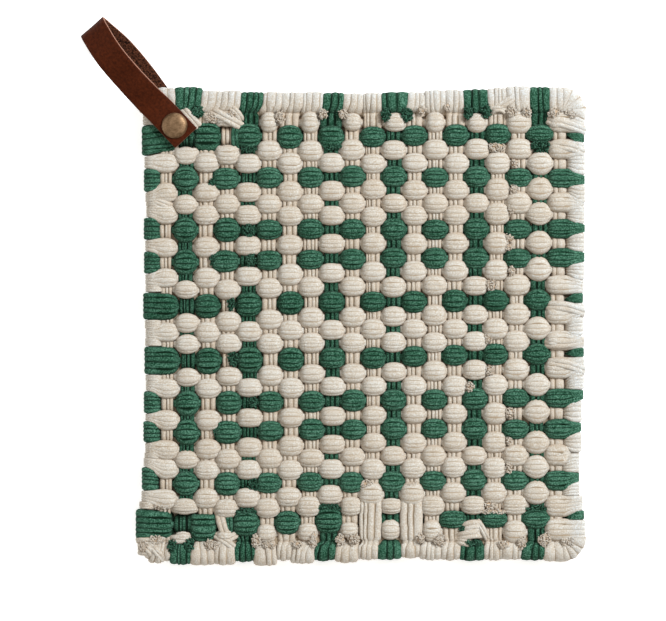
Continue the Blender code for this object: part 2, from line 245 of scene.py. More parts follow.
# The selvedge: weft strands that turn round the side edges.  Walls are the pixels down the edge
# between one row's turn and the next; a row without height there is buried.
EDGE_RISE = 3.3
EDGE_SPREAD = 0.88          # of a turn's half height, which the strands' middles are spread over
EDGE_OVERLAP = 1.12
EDGE_LEAST_WIDTH = 0.2
EDGE_LEAST_HALF = 0.3
BURIED_BY = 3.2
EDGE_WALLS = {
    "left": (112, 125, 156, 156, 168, 192, 202, 206, 217, 240, 251, 274, 285, 292, 320, 329,
             338, 346, 375, 381, 391, 414, 421, 443, 453, 458, 467, 491, 502, 509, 540, 556),
    "right": (118, 133, 142, 155, 175, 184, 203.2, 205, 224, 232, 252, 262, 280, 293, 303, 316,
              336, 348, 357, 371, 390, 400, 423, 432, 453, 453, 473, 482, 496, 511, 520, 541),
}
EDGE_SWING = {"left": {"green": 0.55, "cream": -0.25}, "right": {"green": 0.0, "cream": 0.2}}
EDGE_HOLD = {"left": 0.0, "right": 0.35}    # a bundle keeps its width this share of the way there
# From the turn to where the bundle ends, and the share of its rise that it still has there.
TUCK_LEGS = ((0.3, 0.99), (0.6, 0.9), (0.85, 0.66), (1.02, 0.3), (1.15, -0.15))
LEAST_NARROWING = 0.12
TUCKS = {       # back under the weave: how deep, how far to its row, and how much narrower its end
    "left": {"depth": 7.2, "drift": 0.3, "green": 0.12, "cream": 0.12},
    "right": {"depth": 7.9, "drift": 0.8, "green": 0.78, "cream": 0.42},
}

# The rounded corners: the pixel in their middle, and the degrees that their wraps fan over.
CORNERS = named_rows("across down radius from to strands overlap", [
    (162, 112, 10.3, 95, 175, 5, 0.58),
    (563, 110, 10.9, -16, 84, 4, 0.72),
    (562, 538, 11.3, 278, 357, 4, 0.6),
    (161, 539, 11.9, 180, 264, 6, 0.53),
])

# Strands out of their bundle: half their width, and the pixels and height along them.
LOOSE_STRANDS = named_rows("yarn half path", [
    ("cream", 1.9, [(183, 109, 7.8), (190, 117, 9.4), (199, 127, 7.8)]),
    ("cream", 2.0, [(214, 112, 8.0), (226, 118, 9.8), (239, 125, 8.0)]),
    ("cream", 1.5, [(230, 107, 8.2), (237, 112, 9.4), (241, 119, 7.8)]),
    ("green", 1.6, [(236, 125, 7.0), (234, 136, 8.4), (236, 148, 7.0)]),
    ("cream", 1.7, [(492, 111, 7.8), (503, 104, 9.2), (516, 97, 8.4)]),
    ("cream", 1.3, [(492, 112, 8.0), (498, 107, 9.6), (506, 112, 8.0)]),
    ("cream", 2.0, [(219, 514, 6.6), (222, 526, 8.4), (227, 540, 7.2)]),
    ("green", 1.5, [(228, 514, 6.8), (230, 524, 7.8), (229, 534, 6.8)]),
    ("cream", 1.6, [(214, 548, 7.4), (225, 541, 8.9), (236, 535, 7.4)]),
    ("cream", 1.6, [(216, 536, 7.6), (226, 541, 9.2), (235, 549, 7.6)]),
    ("cream", 1.9, [(172, 540, 7.4), (180, 539, 8.8), (188, 539, 7.4)]),
    ("cream", 1.5, [(152, 546, 8.2), (156, 551, 10.1), (162, 558, 8.0)]),
    ("cream", 1.5, [(145, 545, 8.0), (149, 550, 9.7), (154, 556, 7.6)]),
    ("cream", 2.0, [(463, 528, 7.6), (471, 524, 9.2), (480, 525, 8.0)]),
    ("cream", 2.0, [(459, 537, 7.6), (469, 534, 9.6), (480, 534, 8.0)]),
    ("cream", 1.7, [(457, 542, 7.4), (465, 541, 9.2), (473, 546, 7.8)]),
    ("cream", 1.3, [(478, 522, 8.0), (483, 529, 9.2), (487, 538, 7.8)]),
    ("cream", 1.9, [(552, 121, 8.4), (566, 124, 9.5), (581, 129, 8.2)]),
    ("cream", 2.0, [(553, 146, 8.2), (566, 145, 9.5), (580, 151, 8.2)]),
    ("cream", 2.2, [(552, 306, 8.2), (566, 306, 9.5), (580, 311, 8.2)]),
    ("cream", 2.0, [(550, 344, 8.2), (564, 344, 9.5), (579, 342, 8.2)]),
    ("cream", 2.0, [(552, 363, 8.2), (565, 363, 9.5), (580, 369, 8.2)]),
    ("cream", 1.6, [(151, 199, 7.8), (160, 202, 8.9), (170, 206, 7.6)]),
    ("cream", 1.5, [(151, 211, 7.6), (160, 206, 8.6), (169, 199, 7.4)]),
    ("cream", 1.6, [(152, 461, 7.8), (160, 464, 8.9), (170, 468, 7.6)]),
])
LOOSE_STEPS = 16
LOOSE_TUCK = 1.8            # how deep the ends go
LOOSE_RUN_OUT = 0.35        # of a strand's first and last leg, which its ends add to it
LOOSE_SMOOTHING = 1.35      # legs over which a bend is rounded
# How far from the core a loose strand's painted shade fades out.
LOOSE_LEVELS = (-2.5, 4.5)
LOOSE_PLIES = (-0.46, 0.46)     # of its half width, where a loose strand's two plies lie
LOOSE_PLY_WIDTH, LOOSE_PLY_HEIGHT = 0.68, 0.62      # a ply's halves, of the strand's half width

# Raw ends of the strips: the pixel in their middle, and how many pixels they spread over.
FRAYS = named_rows("across down wide high yarn", [
    (144, 547, 10, 12, "cream"), (197, 112, 13, 12, "green"), (232, 114, 12, 8, "cream"),
    (212, 118, 14, 8, "cream"), (280, 117, 9, 12, "cream"), (323, 114, 8, 9, "cream"),
    (343, 114, 9, 9, "cream"), (386, 115, 9, 14, "green"), (407, 115, 11, 13, "green"),
    (422, 110, 9, 6, "cream"), (447, 107, 5, 7, "cream"), (468, 112, 8, 15, "green"),
    (486, 111, 10, 14, "green"), (512, 112, 10, 10, "cream"), (527, 112, 9, 11, "cream"),
    (554, 113, 11, 10, "cream"), (571, 114, 12, 10, "cream"), (249, 149, 14, 6, "green"),
    (332, 146, 18, 8, "green"), (541, 146, 19, 13, "green"), (497, 147, 17, 9, "cream"),
    (515, 164, 6, 8, "cream"), (514, 190, 8, 10, "cream"), (512, 209, 8, 9, "cream"),
    (509, 238, 9, 8, "cream"), (508, 247, 9, 7, "cream"), (512, 271, 6, 12, "cream"),
    (491, 285, 11, 12, "cream"), (488, 338, 7, 9, "cream"), (490, 371, 8, 9, "cream"),
    (510, 413, 10, 10, "cream"), (509, 441, 6, 8, "cream"), (509, 468, 7, 12, "cream"),
    (470, 388, 8, 11, "cream"), (490, 505, 11, 9, "cream"), (212, 183, 7, 9, "green"),
    (249, 230, 10, 14, "green"), (213, 260, 6, 12, "green"), (251, 260, 10, 14, "green"),
    (231, 304, 7, 13, "green"), (233, 359, 10, 15, "green"), (254, 403, 9, 11, "green"),
    (225, 431, 24, 17, "green"), (255, 485, 14, 12, "green"), (159, 506, 25, 5, "cream"),
    (366, 485, 14, 9, "cream"), (412, 487, 14, 8, "cream"), (245, 512, 22, 6, "green"),
    (329, 508, 24, 7, "green"), (495, 512, 24, 5, "cream"), (537, 509, 22, 5, "green"),
    (156, 540, 15, 8, "cream"), (172, 546, 9, 12, "green"), (189, 545, 10, 13, "green"),
    (211, 545, 12, 11, "cream"), (256, 541, 9, 13, "cream"), (269, 545, 13, 6, "cream"),
    (297, 544, 9, 6, "cream"), (313, 540, 8, 17, "cream"), (340, 540, 9, 11, "cream"),
    (354, 539, 11, 12, "cream"), (420, 538, 8, 9, "cream"), (439, 540, 10, 13, "cream"),
    (463, 529, 6, 6, "green"), (472, 543, 18, 6, "green"), (504, 545, 12, 8, "cream"),
    (521, 543, 9, 13, "cream"), (545, 540, 13, 13, "cream"), (569, 542, 14, 10, "cream"),
])
FRAY_HEIGHT = 9.4
FRAY_HEIGHT_AT_HEM = 10.4
FRAYS_HIGH_WITHIN = 6.0     # of the hem's valley
FRAY_YARN = 0.27            # half the thickness of a curl
CURLS_PER_AREA = 0.34       # for each square pixel
FEWEST_CURLS = 8
MOST_CURLS = 64
MOST_DOMED = 1.6            # the height of the heap that the curls lie on

# The leather strap and its rivet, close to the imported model's.
RIVET_X = -88.0
RIVET_Y = 89.0
STRAP_ANGLE = math.radians(130.3)
STRAP_FORWARD = np.array([math.cos(STRAP_ANGLE), math.sin(STRAP_ANGLE), 0.0])
STRAP_RIGHT = np.array([math.sin(STRAP_ANGLE), -math.cos(STRAP_ANGLE), 0.0])
STRAP_WIDTH = 13.5
STRAP_THICKNESS = 1.8
# The middle of the strip, from its end under the pad, round the fold, to its end on top.  Along
# and side are measured from the rivet, and roll raises the right-hand edge.
STRAP_STATIONS = named_rows("along side height roll", [
    (-7.6, 0.5, 1.9, 0.0), (8.0, 1.0, 1.9, 0.0), (18.0, 2.2, 2.0, 2.0),
    (30.0, 3.0, 2.7, 7.0), (43.0, 3.0, 3.7, 11.0), (54.0, 1.5, 5.2, 11.0),
    (58.5, 0.5, 9.0, 8.0), (54.0, -0.6, 12.9, 11.0), (43.0, -2.0, 14.8, 15.0),
    (30.0, -2.0, 13.6, 17.0), (18.0, -1.4, 11.8, 12.0), (8.0, -0.5, 10.8, 1.0),
    (-7.6, 0.3, 10.8, 0.0),
])
STEPS_PER_STATION = 12
SEAT_TOP = 9.6              # the pad is pressed between these heights by the strap's two halves
SEAT_UNDERSIDE = 3.1
SEAT_MARGIN = 5.0           # round the strap, where the pad is pressed as much
SEAT_RAMP = 10.0            # round that, where it rises to its own thickness

chance = np.random.RandomState(7)


def mean_place(stations, row, across):
    """Return the row's value at this pixel across, between its left, middle and right ones."""
    places = ("left", "middle", "right")
    return np.interp(across, [stations[place] for place in places], [row[place] for place in places])


def find_crossings():
    """Return where the bundles cross, as arrays of x and of y by column and row."""
    x, y = np.zeros((COLUMNS, ROWS)), np.zeros((COLUMNS, ROWS))
    for column in range(COLUMNS):
        straight = FIRST_COLUMN_X + COLUMN_PITCH * column + COLUMN_NUDGES.get(column, 0.0)
        across = straight / PIXEL + PIXEL_OVER_ORIGIN[0]
        strays = [mean_place(STRAY_STATIONS, row, across) for row in STRAYS]
        for row in range(ROWS):
            down = float(mean_place(ROW_STATIONS, ROW_PLACES[row], across))
            stray = np.interp(down, [row["down"] for row in STRAYS], strays)
            x[column, row], y[column, row] = from_photo(across + stray, down)
    return x, y


def yarn_of(row):
    """Return the colour of a weft bundle."""
    return "green" if row in GREEN_ROWS else "cream"


def odd_crossing(column, row):
    """Return what is unlike its neighbours about a weft crossing, if anything is."""
    return ODD_CROSSINGS.get((column, row), {})


def weft_sign(column, row):
    """Return 1 where the weft shows on top and -1 where the warp does."""
    if FLOAT_COLUMNS.get(column) == row:
        return -1.0
    return 1.0 if (column + row) % 2 else -1.0


def smooth(share):
    """Ease a share that runs from 0 to 1, flat at both ends."""
    share = np.clip(share, 0.0, 1.0)
    return share * share * (3.0 - 2.0 * share)


def sharpened(wave, softness):
    """Square off a wave that runs from 0 to 1, keeping both ends."""
    return wave * np.sqrt((1.0 + softness ** 2) / (wave ** 2 + softness ** 2))


def unit(vectors):
    """Return vectors of length 1 in the same directions."""
    return vectors / np.maximum(np.linalg.norm(vectors, axis=-1, keepdims=True), 1e-9)


CROSSING_X, CROSSING_Y = find_crossings()


# ---------------------------------------------------------------- making tubes

CORE_LOW = np.array([-98.0, -106.5, MIDDLE_HEIGHT])     # a flat core that all bundles lie round, from which the painted shade is measured
CORE_HIGH = np.array([94.8, 101.0, MIDDLE_HEIGHT])
CONTACT_HEIGHT = 0.02       # the cotton flattens where it rests
UV_SHIFT = 50.0             # between the lightest and the darkest strand, so that no two match
TURN_ANGLES = np.radians(np.arange(0, 181, 22.5))       # round an edge, from one face to the other


def link(mesh):
    """Put a mesh into the scene, as a piece with the same name."""
    piece = bpy.data.objects.new(mesh.name, mesh)
    bpy.context.scene.collection.objects.link(piece)
    return piece


def strand_tint(bundle_tint):
    """Return a strand's tint, which is near its bundle's."""
    return 0.6 * bundle_tint + 0.4 * chance.rand()


def ring_quads(rings, sides):
    """Return the corners of the faces between one ring of points and the next, ring by ring."""
    first = np.arange(rings - 1)[:, None] * sides
    here = np.arange(sides)[None, :]
    after = (here + 1) % sides
    quads = [first + here, first + after, first + sides + after, first + sides + here]
    return np.stack(quads, axis=2).reshape(-1, 4)


def seat_share(x, y):
    """Return 1 where the strap lies against the pad, falling to 0 around it."""
    along = (x - RIVET_X) * STRAP_FORWARD[0] + (y - RIVET_Y) * STRAP_FORWARD[1]
    aside = (x - RIVET_X) * STRAP_RIGHT[0] + (y - RIVET_Y) * STRAP_RIGHT[1]
    past_end = np.maximum(STRAP_STATIONS[0]["along"] - SEAT_MARGIN - along, 0.0)
    past_side = np.maximum(np.abs(aside) - STRAP_WIDTH / 2.0 - SEAT_MARGIN, 0.0)
    return smooth(1.0 - np.hypot(past_end, past_side) / SEAT_RAMP)


def press_under_strap(points):
    """Squeeze the pad between the strap's two halves."""
    share = seat_share(points[:, 0], points[:, 1])
    thickness = 2.0 * MIDDLE_HEIGHT
    pressed = SEAT_UNDERSIDE + points[:, 2] * (SEAT_TOP - SEAT_UNDERSIDE) / thickness
    points[:, 2] += share * (pressed - points[:, 2])
    return points


class TubeMesh:
    """Gathers tubes into one mesh, with a length-wise UV map and three values at each point: a random
    tint, and the openness and the crown, which place the painted shade.
    """

    def __init__(self):
        self.points, self.counts, self.corners, self.uvs = [], [], [], []
        self.tints, self.openness, self.crowns = [], [], []
        self.total = 0

    def add(self, path, width_axis, half_width, half_height, sides, tint, levels,
            lumps=0.05, crease=None, free_side=0):
        """Sweep an ellipse along the path, closed at both ends.

        levels are the distances from the pad's core at which a bundle gets the full painted shade of
        the weave and none of it.  crease is the share of its height at which a strand meets the next
        one, below which its side gets the painted dark shade of the crease, and free_side is the side,
        -1 or 1, where there is no other strand and so no painted crease shade.
        """
        path = np.asarray(path, float)
        count = len(path)
        tangent = unit(np.gradient(path, axis=0))
        width_axis = np.broadcast_to(np.asarray(width_axis, float), path.shape)
        width = unit(width_axis - tangent * np.sum(width_axis * tangent, axis=1)[:, None])
        normal = np.cross(tangent, width)
        swell = 1.0 + lumps * chance.randn(count)
        half_width = np.broadcast_to(half_width, count) * swell
        half_height = np.broadcast_to(half_height, count) * swell
        angle = 2.0 * math.pi * np.arange(sides) / sides
        offset = (width[:, None, :] * (half_width[:, None] * np.cos(angle))[:, :, None]
                  + normal[:, None, :] * (half_height[:, None] * np.sin(angle))[:, :, None])
        self.points.append((path[:, None, :] + offset).reshape(-1, 3))
        self.add_faces(count, sides)
        self.add_uvs(path, float(np.mean(half_width)), sides, tint)

        self.tints.append(np.full(count * sides, tint))
        # Painted shade: crown is 0 on a strand's sides below the crease, where the dark crease shade
        # is painted, and 1 on its top and on a free side.
        crown = np.ones(sides)
        if crease is not None:
            crown = np.clip((np.abs(np.sin(angle)) - crease) / (1.0 - crease), 0.0, 1.0)
            crown[np.cos(angle) * free_side > 1e-6] = 1.0
        self.crowns.append(np.tile(crown, count))
        # Painted shade: the nearer a bundle lies to the pad's core, and the more a side faces in
        # towards it, the more of the weave's painted shade it gets.
        from_core = path - np.clip(path, CORE_LOW, CORE_HIGH)
        distance = np.linalg.norm(from_core, axis=1)
        level = smooth((distance - levels[0]) / (levels[1] - levels[0]))
        facing = np.sum(unit(offset) * unit(from_core)[:, None, :], axis=2)
        self.openness.append((level[:, None] * smooth(0.55 + 0.45 * facing)).reshape(-1))

    def add_faces(self, count, sides):
        """Join a new tube's rings into sides of four corners, with a face at each end."""
        start = self.total
        self.total += count * sides
        self.corners.append(start + ring_quads(count, sides).ravel())
        self.counts.append(np.full((count - 1) * sides, 4))
        for ring_start, order in ((start, -1), (start + (count - 1) * sides, 1)):
            self.corners.append(ring_start + np.arange(sides)[::order])
            self.counts.append(np.array([sides]))

    def add_uvs(self, path, radius, sides, tint):
        """Lay a new tube's UV map: millimetres along it, and millimetres round it."""
        count = len(path)
        steps = np.linalg.norm(np.diff(path, axis=0), axis=1)
        along = np.concatenate([[0.0], np.cumsum(steps)]) + UV_SHIFT * tint
        around = np.arange(sides + 1) * (2.0 * math.pi * radius / sides)
        u_here, u_next = np.repeat(along[:-1], sides), np.repeat(along[1:], sides)
        v_here, v_next = np.tile(around[:-1], count - 1), np.tile(around[1:], count - 1)
        uv = np.stack([u_here, v_here, u_here, v_next, u_next, v_next, u_next, v_here], axis=1)
        self.uvs.append(uv.reshape(-1, 2))
        self.uvs.append(np.tile([[along[0], 0.0]], (2 * sides, 1)))

    def make(self, name, material):
        """Turn all tubes into one piece."""
        mesh = bpy.data.meshes.new(name)
        points = press_under_strap(np.concatenate(self.points))
        points[:, 2] = np.maximum(points[:, 2], CONTACT_HEIGHT)
        points *= MM
        corners = np.concatenate(self.corners)
        counts = np.concatenate(self.counts)
        mesh.vertices.add(len(points))
        mesh.vertices.foreach_set("co", points.ravel())
        mesh.loops.add(len(corners))
        mesh.loops.foreach_set("vertex_index", corners.astype(np.int32))
        mesh.polygons.add(len(counts))
        starts = np.concatenate([[0], np.cumsum(counts)[:-1]])
        mesh.polygons.foreach_set("loop_start", starts.astype(np.int32))
        uv_map = mesh.uv_layers.new(name="strand")
        uv_map.data.foreach_set("uv", np.concatenate(self.uvs).ravel())
        for label, values in (("tint", self.tints), ("openness", self.openness),
                              ("crown", self.crowns)):
            attribute = mesh.attributes.new(label, "FLOAT", "POINT")
            attribute.data.foreach_set("value", np.concatenate(values).astype(np.float32))
        mesh.update(calc_edges=True)
        mesh.validate()
        mesh.materials.append(material)
        mesh.shade_smooth()
        return link(mesh)


# ---------------------------------------------------------------- weft bundles

# Shares of a column's pitch, from its middle, where a bundle's path has a point.
OVER_STEPS = np.array([-0.56, -0.50, -0.42, -0.32, -0.20, -0.07,
                       0.07, 0.20, 0.32, 0.42, 0.50, 0.56])
UNDER_STEPS = np.array([-0.36, -0.25, -0.09, 0.09, 0.25, 0.36])
PLATEAU = 0.34              # a bundle keeps its strands' places this far from a crossing
WEFT_SIDES = 8
# How far from the core a bundle's painted shade fades out, for strands and for hearts.
WEFT_LEVELS = (0.3, 2.6)
HEART_SIDES = 6
HEART_LEVELS = (-3.0, 1.2)


def edge_places(side):
    """Return each row's middle and half height where it turns round this side edge."""
    walls = [from_photo(0.0, down)[1] for down in EDGE_WALLS[side]]
    return [(0.5 * (top + bottom), 0.5 * (top - bottom)) for top, bottom in zip(walls, walls[1:])]


EDGE_PLACES = {side: edge_places(side) for side in EDGE_WALLS}


def fullness(column, row):
    """Return how much taller than most this row's bundle is at this column."""
    return COLUMN_FULLNESS[yarn_of(row)][column] * odd_crossing(column, row).get("tall", 1.0)


def strand_layout(strands, columns, uneven=0.35):
    """Return, at each column, where the strands lie across the bundle and how wide they are."""
    weights = 1.0 + uneven * (2.0 * chance.rand(columns, strands) - 1.0)
    edges = np.concatenate([np.zeros((columns, 1)), np.cumsum(weights, axis=1)], axis=1)
    edges = 2.0 * edges / edges[:, -1:] - 1.0
    return 0.5 * (edges[:, 1:] + edges[:, :-1]), 0.5 * (edges[:, 1:] - edges[:, :-1])


def free_side(strand, strands):
    """Return the side, -1 or 1, where a strand has no neighbour, or 0 inside its bundle."""
    return (1 if strand == strands - 1 else 0) - (1 if strand == 0 else 0)


def weft_stations(row):
    """Return the bundle's stations along x: place, wave, spread and the column's number."""
    padded_columns = np.arange(-1, COLUMNS + 1)
    padded_x = np.concatenate([[CROSSING_X[0, row] - COLUMN_PITCH], CROSSING_X[:, row],
                               [CROSSING_X[-1, row] + COLUMN_PITCH]])
    stations = []
    for column in range(COLUMNS):
        sign = weft_sign(column, row)
        odd = odd_crossing(column, row)
        least, taper = WEFT_LEAST_SPREAD, WEFT_TAPER
        if sign > 0.0:
            least, taper = odd.get("tip", ODD_TIPS.get(column, (least, taper)))
        most = 1.0 if sign > 0.0 else WEFT_UNDER_SPREAD
        reach = WEFT_OVER_REACH if sign > 0.0 else 1.0 - WEFT_OVER_REACH
        for step in OVER_STEPS if sign > 0.0 else UNDER_STEPS:
            neighbour = column + (1 if step > 0 else -1)
            wave, spread = sign, most
            if 0 <= neighbour < COLUMNS and weft_sign(neighbour, row) != sign:
                share = abs(step) / reach
                wave = sign * float(sharpened(math.cos(0.5 * math.pi * share), WEFT_SHARPNESS))
                spread = least + (most - least) * (1.0 - share ** 2) ** taper
            elif not 0 <= neighbour < COLUMNS and abs(step) > 0.45:
                continue
            width = 1.0
            if sign > 0.0:
                width = WEFT_OVER_WIDTH * WIDE_COLUMNS.get(column, 1.0) * odd.get("wide", 1.0)
            x = np.interp(column + step * width, padded_columns, padded_x)
            stations.append((x + odd.get("right", 0.0) * PIXEL, wave, spread, column + step))
    return (np.array(values) for values in zip(*stations))


def settled(number):
    """Return the column numbers with a plateau round each column, and quick changes between."""
    column = np.round(number)
    off = number - column
    return column + 0.5 * np.sign(off) * smooth((np.abs(off) - PLATEAU) / (0.5 - PLATEAU))


def add_weft_row(tubes, row):
    """Lay one weft bundle from side edge to side edge, over and under the warp."""
    kinds = WEFT_STRANDS[yarn_of(row)]
    strands = kinds[row % len(kinds)]
    middles, halves = strand_layout(strands, COLUMNS)
    x, wave, spread, number = weft_stations(row)
    columns = np.arange(COLUMNS)
    number = settled(number)
    tall = np.array([fullness(column, row) for column in columns])
    tall *= 1.0 + TALL_CHANCE * chance.randn(COLUMNS).clip(-1.6, 1.6)
    puff = np.interp(number, columns, tall)
    y_centre = np.interp(number, columns, CROSSING_Y[:, row])
    y_centre += np.interp(number, columns, PLACE_CHANCE * chance.randn(COLUMNS).clip(-1.6, 1.6))
    y_centre -= np.interp(number, columns, [odd_crossing(column, row).get("down", 0.0) * PIXEL
                                            for column in columns])
    lift = np.interp(number, columns, LIFT_CHANCE * chance.randn(COLUMNS).clip(-1.8, 0.5))
    row_tint = chance.rand()
    turns = {side: edge_facts(side, row) for side in ("left", "right")}

    for strand in range(strands):
        share = np.interp(number, columns, middles[:, strand])
        half = np.interp(number, columns, halves[:, strand])
        arc = WEFT_ARC * share
        half_width = (WEFT_OVERLAP * WEFT_HALF_SPAN * half * (spread ** 0.9) * puff
                      + WEFT_LEAST_HALF_WIDTH)
        half_height = WEFT_HALF_HEIGHT * (1.0 - WEFT_FLATTENING * (1.0 - spread))
        y = y_centre + spread * puff * WEFT_HALF_SPAN * np.sin(arc)
        rise = WEFT_CORE_RISE + lift + WEFT_CROWN * np.cos(arc)
        path = np.stack([x, y, MIDDLE_HEIGHT + wave * rise], axis=1)
        axis = np.stack([np.zeros_like(arc), WEFT_HALF_SPAN * np.cos(arc),
                         -wave * WEFT_CROWN * np.sin(arc)], axis=1)
        run = [path, axis, half_width, half_height]
        for side, facts in turns.items():
            run = turn_at_edge(run, facts, share, half, side)
        tubes.add(*run, WEFT_SIDES, strand_tint(row_tint), WEFT_LEVELS, 0.02, WEFT_CREASE,
                  free_side(strand, strands))
    heart = np.stack([x, y_centre, MIDDLE_HEIGHT + wave * WEFT_HEART_RISE], axis=1)
    tubes.add(heart, (0.0, 1.0, 0.0), WEFT_HEART_HALF_WIDTH, WEFT_HEART_HALF_HEIGHT, HEART_SIDES,
              row_tint, HEART_LEVELS)


def edge_reach(side, y):
    """Return how far a side edge reaches at this place, eased between its table's rows."""
    rows = sorted(SIDE_EDGES, key=lambda row: row["y"])
    y = min(max(y, rows[0]["y"]), rows[-1]["y"])
    low, high = next(pair for pair in zip(rows, rows[1:]) if y <= pair[1]["y"])
    share = float(smooth((y - low["y"]) / (high["y"] - low["y"])))
    return low[side] + share * (high[side] - low[side])


def edge_facts(side, row):
    """Return where and how this row's bundle turns round a side edge."""
    column = 0 if side == "left" else COLUMNS - 1
    middle, half = EDGE_PLACES[side][row]
    reach = edge_reach(side, middle) + EDGE_CHANCE * chance.randn()
    reach += EDGE_SWING[side][yarn_of(row)]
    return {
        "outward": -1.0 if side == "left" else 1.0,
        "column_x": CROSSING_X[column, row],
        "sign": weft_sign(column, row),
        "reach": reach - (BURIED_BY if half < 0.1 else 0.0),
        "y": middle,
        "half": max(half, EDGE_LEAST_HALF),
        "row_y": CROSSING_Y[column, row],
        "hold": EDGE_HOLD[side],
        "tuck": TUCKS[side],
        "pinch": TUCKS[side][yarn_of(row)],
    }


def turn_at_edge(run, facts, share, half, side):
    """Lead a strand to the side edge, round it, and in again on the other face until it tucks."""
    path, axis, half_width, half_height = (np.array(part) for part in run)
    end = 0 if side == "left" else -1
    outward, sign = facts["outward"], facts["sign"]
    thickness = WEFT_HALF_HEIGHT
    turn_x = outward * (facts["reach"] - thickness - EDGE_RISE)
    edge_y = facts["y"] + EDGE_SPREAD * facts["half"] * share[end]
    edge_width = EDGE_OVERLAP * facts["half"] * half[end] + EDGE_LEAST_WIDTH
    to_turn = abs(turn_x - facts["column_x"])
    to_edge = to_turn + EDGE_RISE

    def eased(past):
        return smooth((past / to_edge - facts["hold"]) / (1.0 - facts["hold"]))

    past_middle = (path[:, 0] - facts["column_x"]) * outward
    ease = eased(past_middle)
    path[:, 1] += ease * (edge_y - path[:, 1])
    half_width += ease * (edge_width - half_width)
    axis[:, 2] *= 1.0 - ease
    sink = smooth(past_middle / to_turn)
    path[:, 2] += sink * (MIDDLE_HEIGHT + sign * EDGE_RISE - path[:, 2])

    last_y = path[end, 1]
    last_width = half_width[end]
    last_ease = ease[end]
    points, widths = [], []
    for angle in TURN_ANGLES:
        out = to_turn + EDGE_RISE * math.sin(angle) if angle < 0.5 * math.pi else to_edge
        rest = (float(eased(out)) - last_ease) / max(1.0 - last_ease, 1e-6)
        points.append((turn_x + outward * EDGE_RISE * math.sin(angle),
                       last_y + rest * (edge_y - last_y),
                       MIDDLE_HEIGHT + sign * EDGE_RISE * math.cos(angle)))
        widths.append(last_width + rest * (edge_width - last_width))
    tuck_x = outward * (facts["reach"] - facts["tuck"]["depth"])
    for step, rise in TUCK_LEGS:
        narrowing = max(1.0 - facts["pinch"] * step, LEAST_NARROWING)
        y = facts["y"] + (facts["row_y"] - facts["y"]) * facts["tuck"]["drift"] * step
        points.append((turn_x + (tuck_x - turn_x) * step,
                       y + EDGE_SPREAD * facts["half"] * share[end] * narrowing,
                       MIDDLE_HEIGHT - sign * EDGE_RISE * rise))
        widths.append(edge_width * narrowing)
    order = -1 if side == "left" else 1
    extra = (np.array(points)[::order], np.tile([[0.0, 1.0, 0.0]], (len(points), 1)),
             np.array(widths)[::order], np.full(len(points), thickness))
    parts = (path, axis, half_width, half_height)
    if side == "left":
        return [np.concatenate([new, old]) for new, old in zip(extra, parts)]
    return [np.concatenate([old, new]) for new, old in zip(extra, parts)]


# ---------------------------------------------------------------- warp bundles

ROW_STEPS = np.array([-0.42, -0.26, -0.09, 0.09, 0.26, 0.42])
WARP_SIDES = 8
HEM_UNEVEN = 0.5            # how unlike each other the strands of a hem are
# How far from the core the painted shade of warp and corner strands fades out.
WARP_LEVELS = (-0.3, 2.4)


def warp_sizes(column):
    """Return a warp bundle's half span and its rise at each row."""
    half_span = np.full(ROWS, NARROW_COLUMNS.get(column, {}).get("half_span", WARP_HALF_SPAN))
    for end, hem in HEMS.items():
        if weft_sign(column, hem["row"]) < 0.0:
            half_span[hem["row"]] = HEM_HALF_SPANS[end]
    for row in range(ROWS):
        half_span[row] = WIDE_RIBS.get((column, row), half_span[row])
    rise = np.full(ROWS, WARP_RISE)
    if column in FLOAT_COLUMNS:
        middle = FLOAT_COLUMNS[column]
        rise[middle - 1:middle + 2] = FLOAT_RISE
        half_span[middle - 1:middle + 2] = FLOAT_HALF_SPAN
    return half_span, rise


def warp_steps(column, row):
    """Return the y and the wave, from -1 to 1, of a warp bundle's points at this row."""
    y_centre = CROSSING_Y[column]
    sign = -weft_sign(column, row)
    steps = []
    for step in ROW_STEPS:
        neighbour = row + (1 if step > 0 else -1)
        if 0 <= neighbour < ROWS:
            pitch = abs(y_centre[row] - y_centre[neighbour])
        else:
            neighbour = row
            hem = HEMS["bottom" if row else "top"]
            pitch = 2.0 * max(abs(hem["valley"]) - HEM_RUN_IN - abs(y_centre[row]), 0.3)
        middle = 0.5 * (sign - weft_sign(column, neighbour))
        height = float(sharpened(np.cos(math.pi * abs(step)), WARP_SHARPNESS))
        steps.append((y_centre[row] - step * pitch, middle + (sign - middle) * height))
    return steps


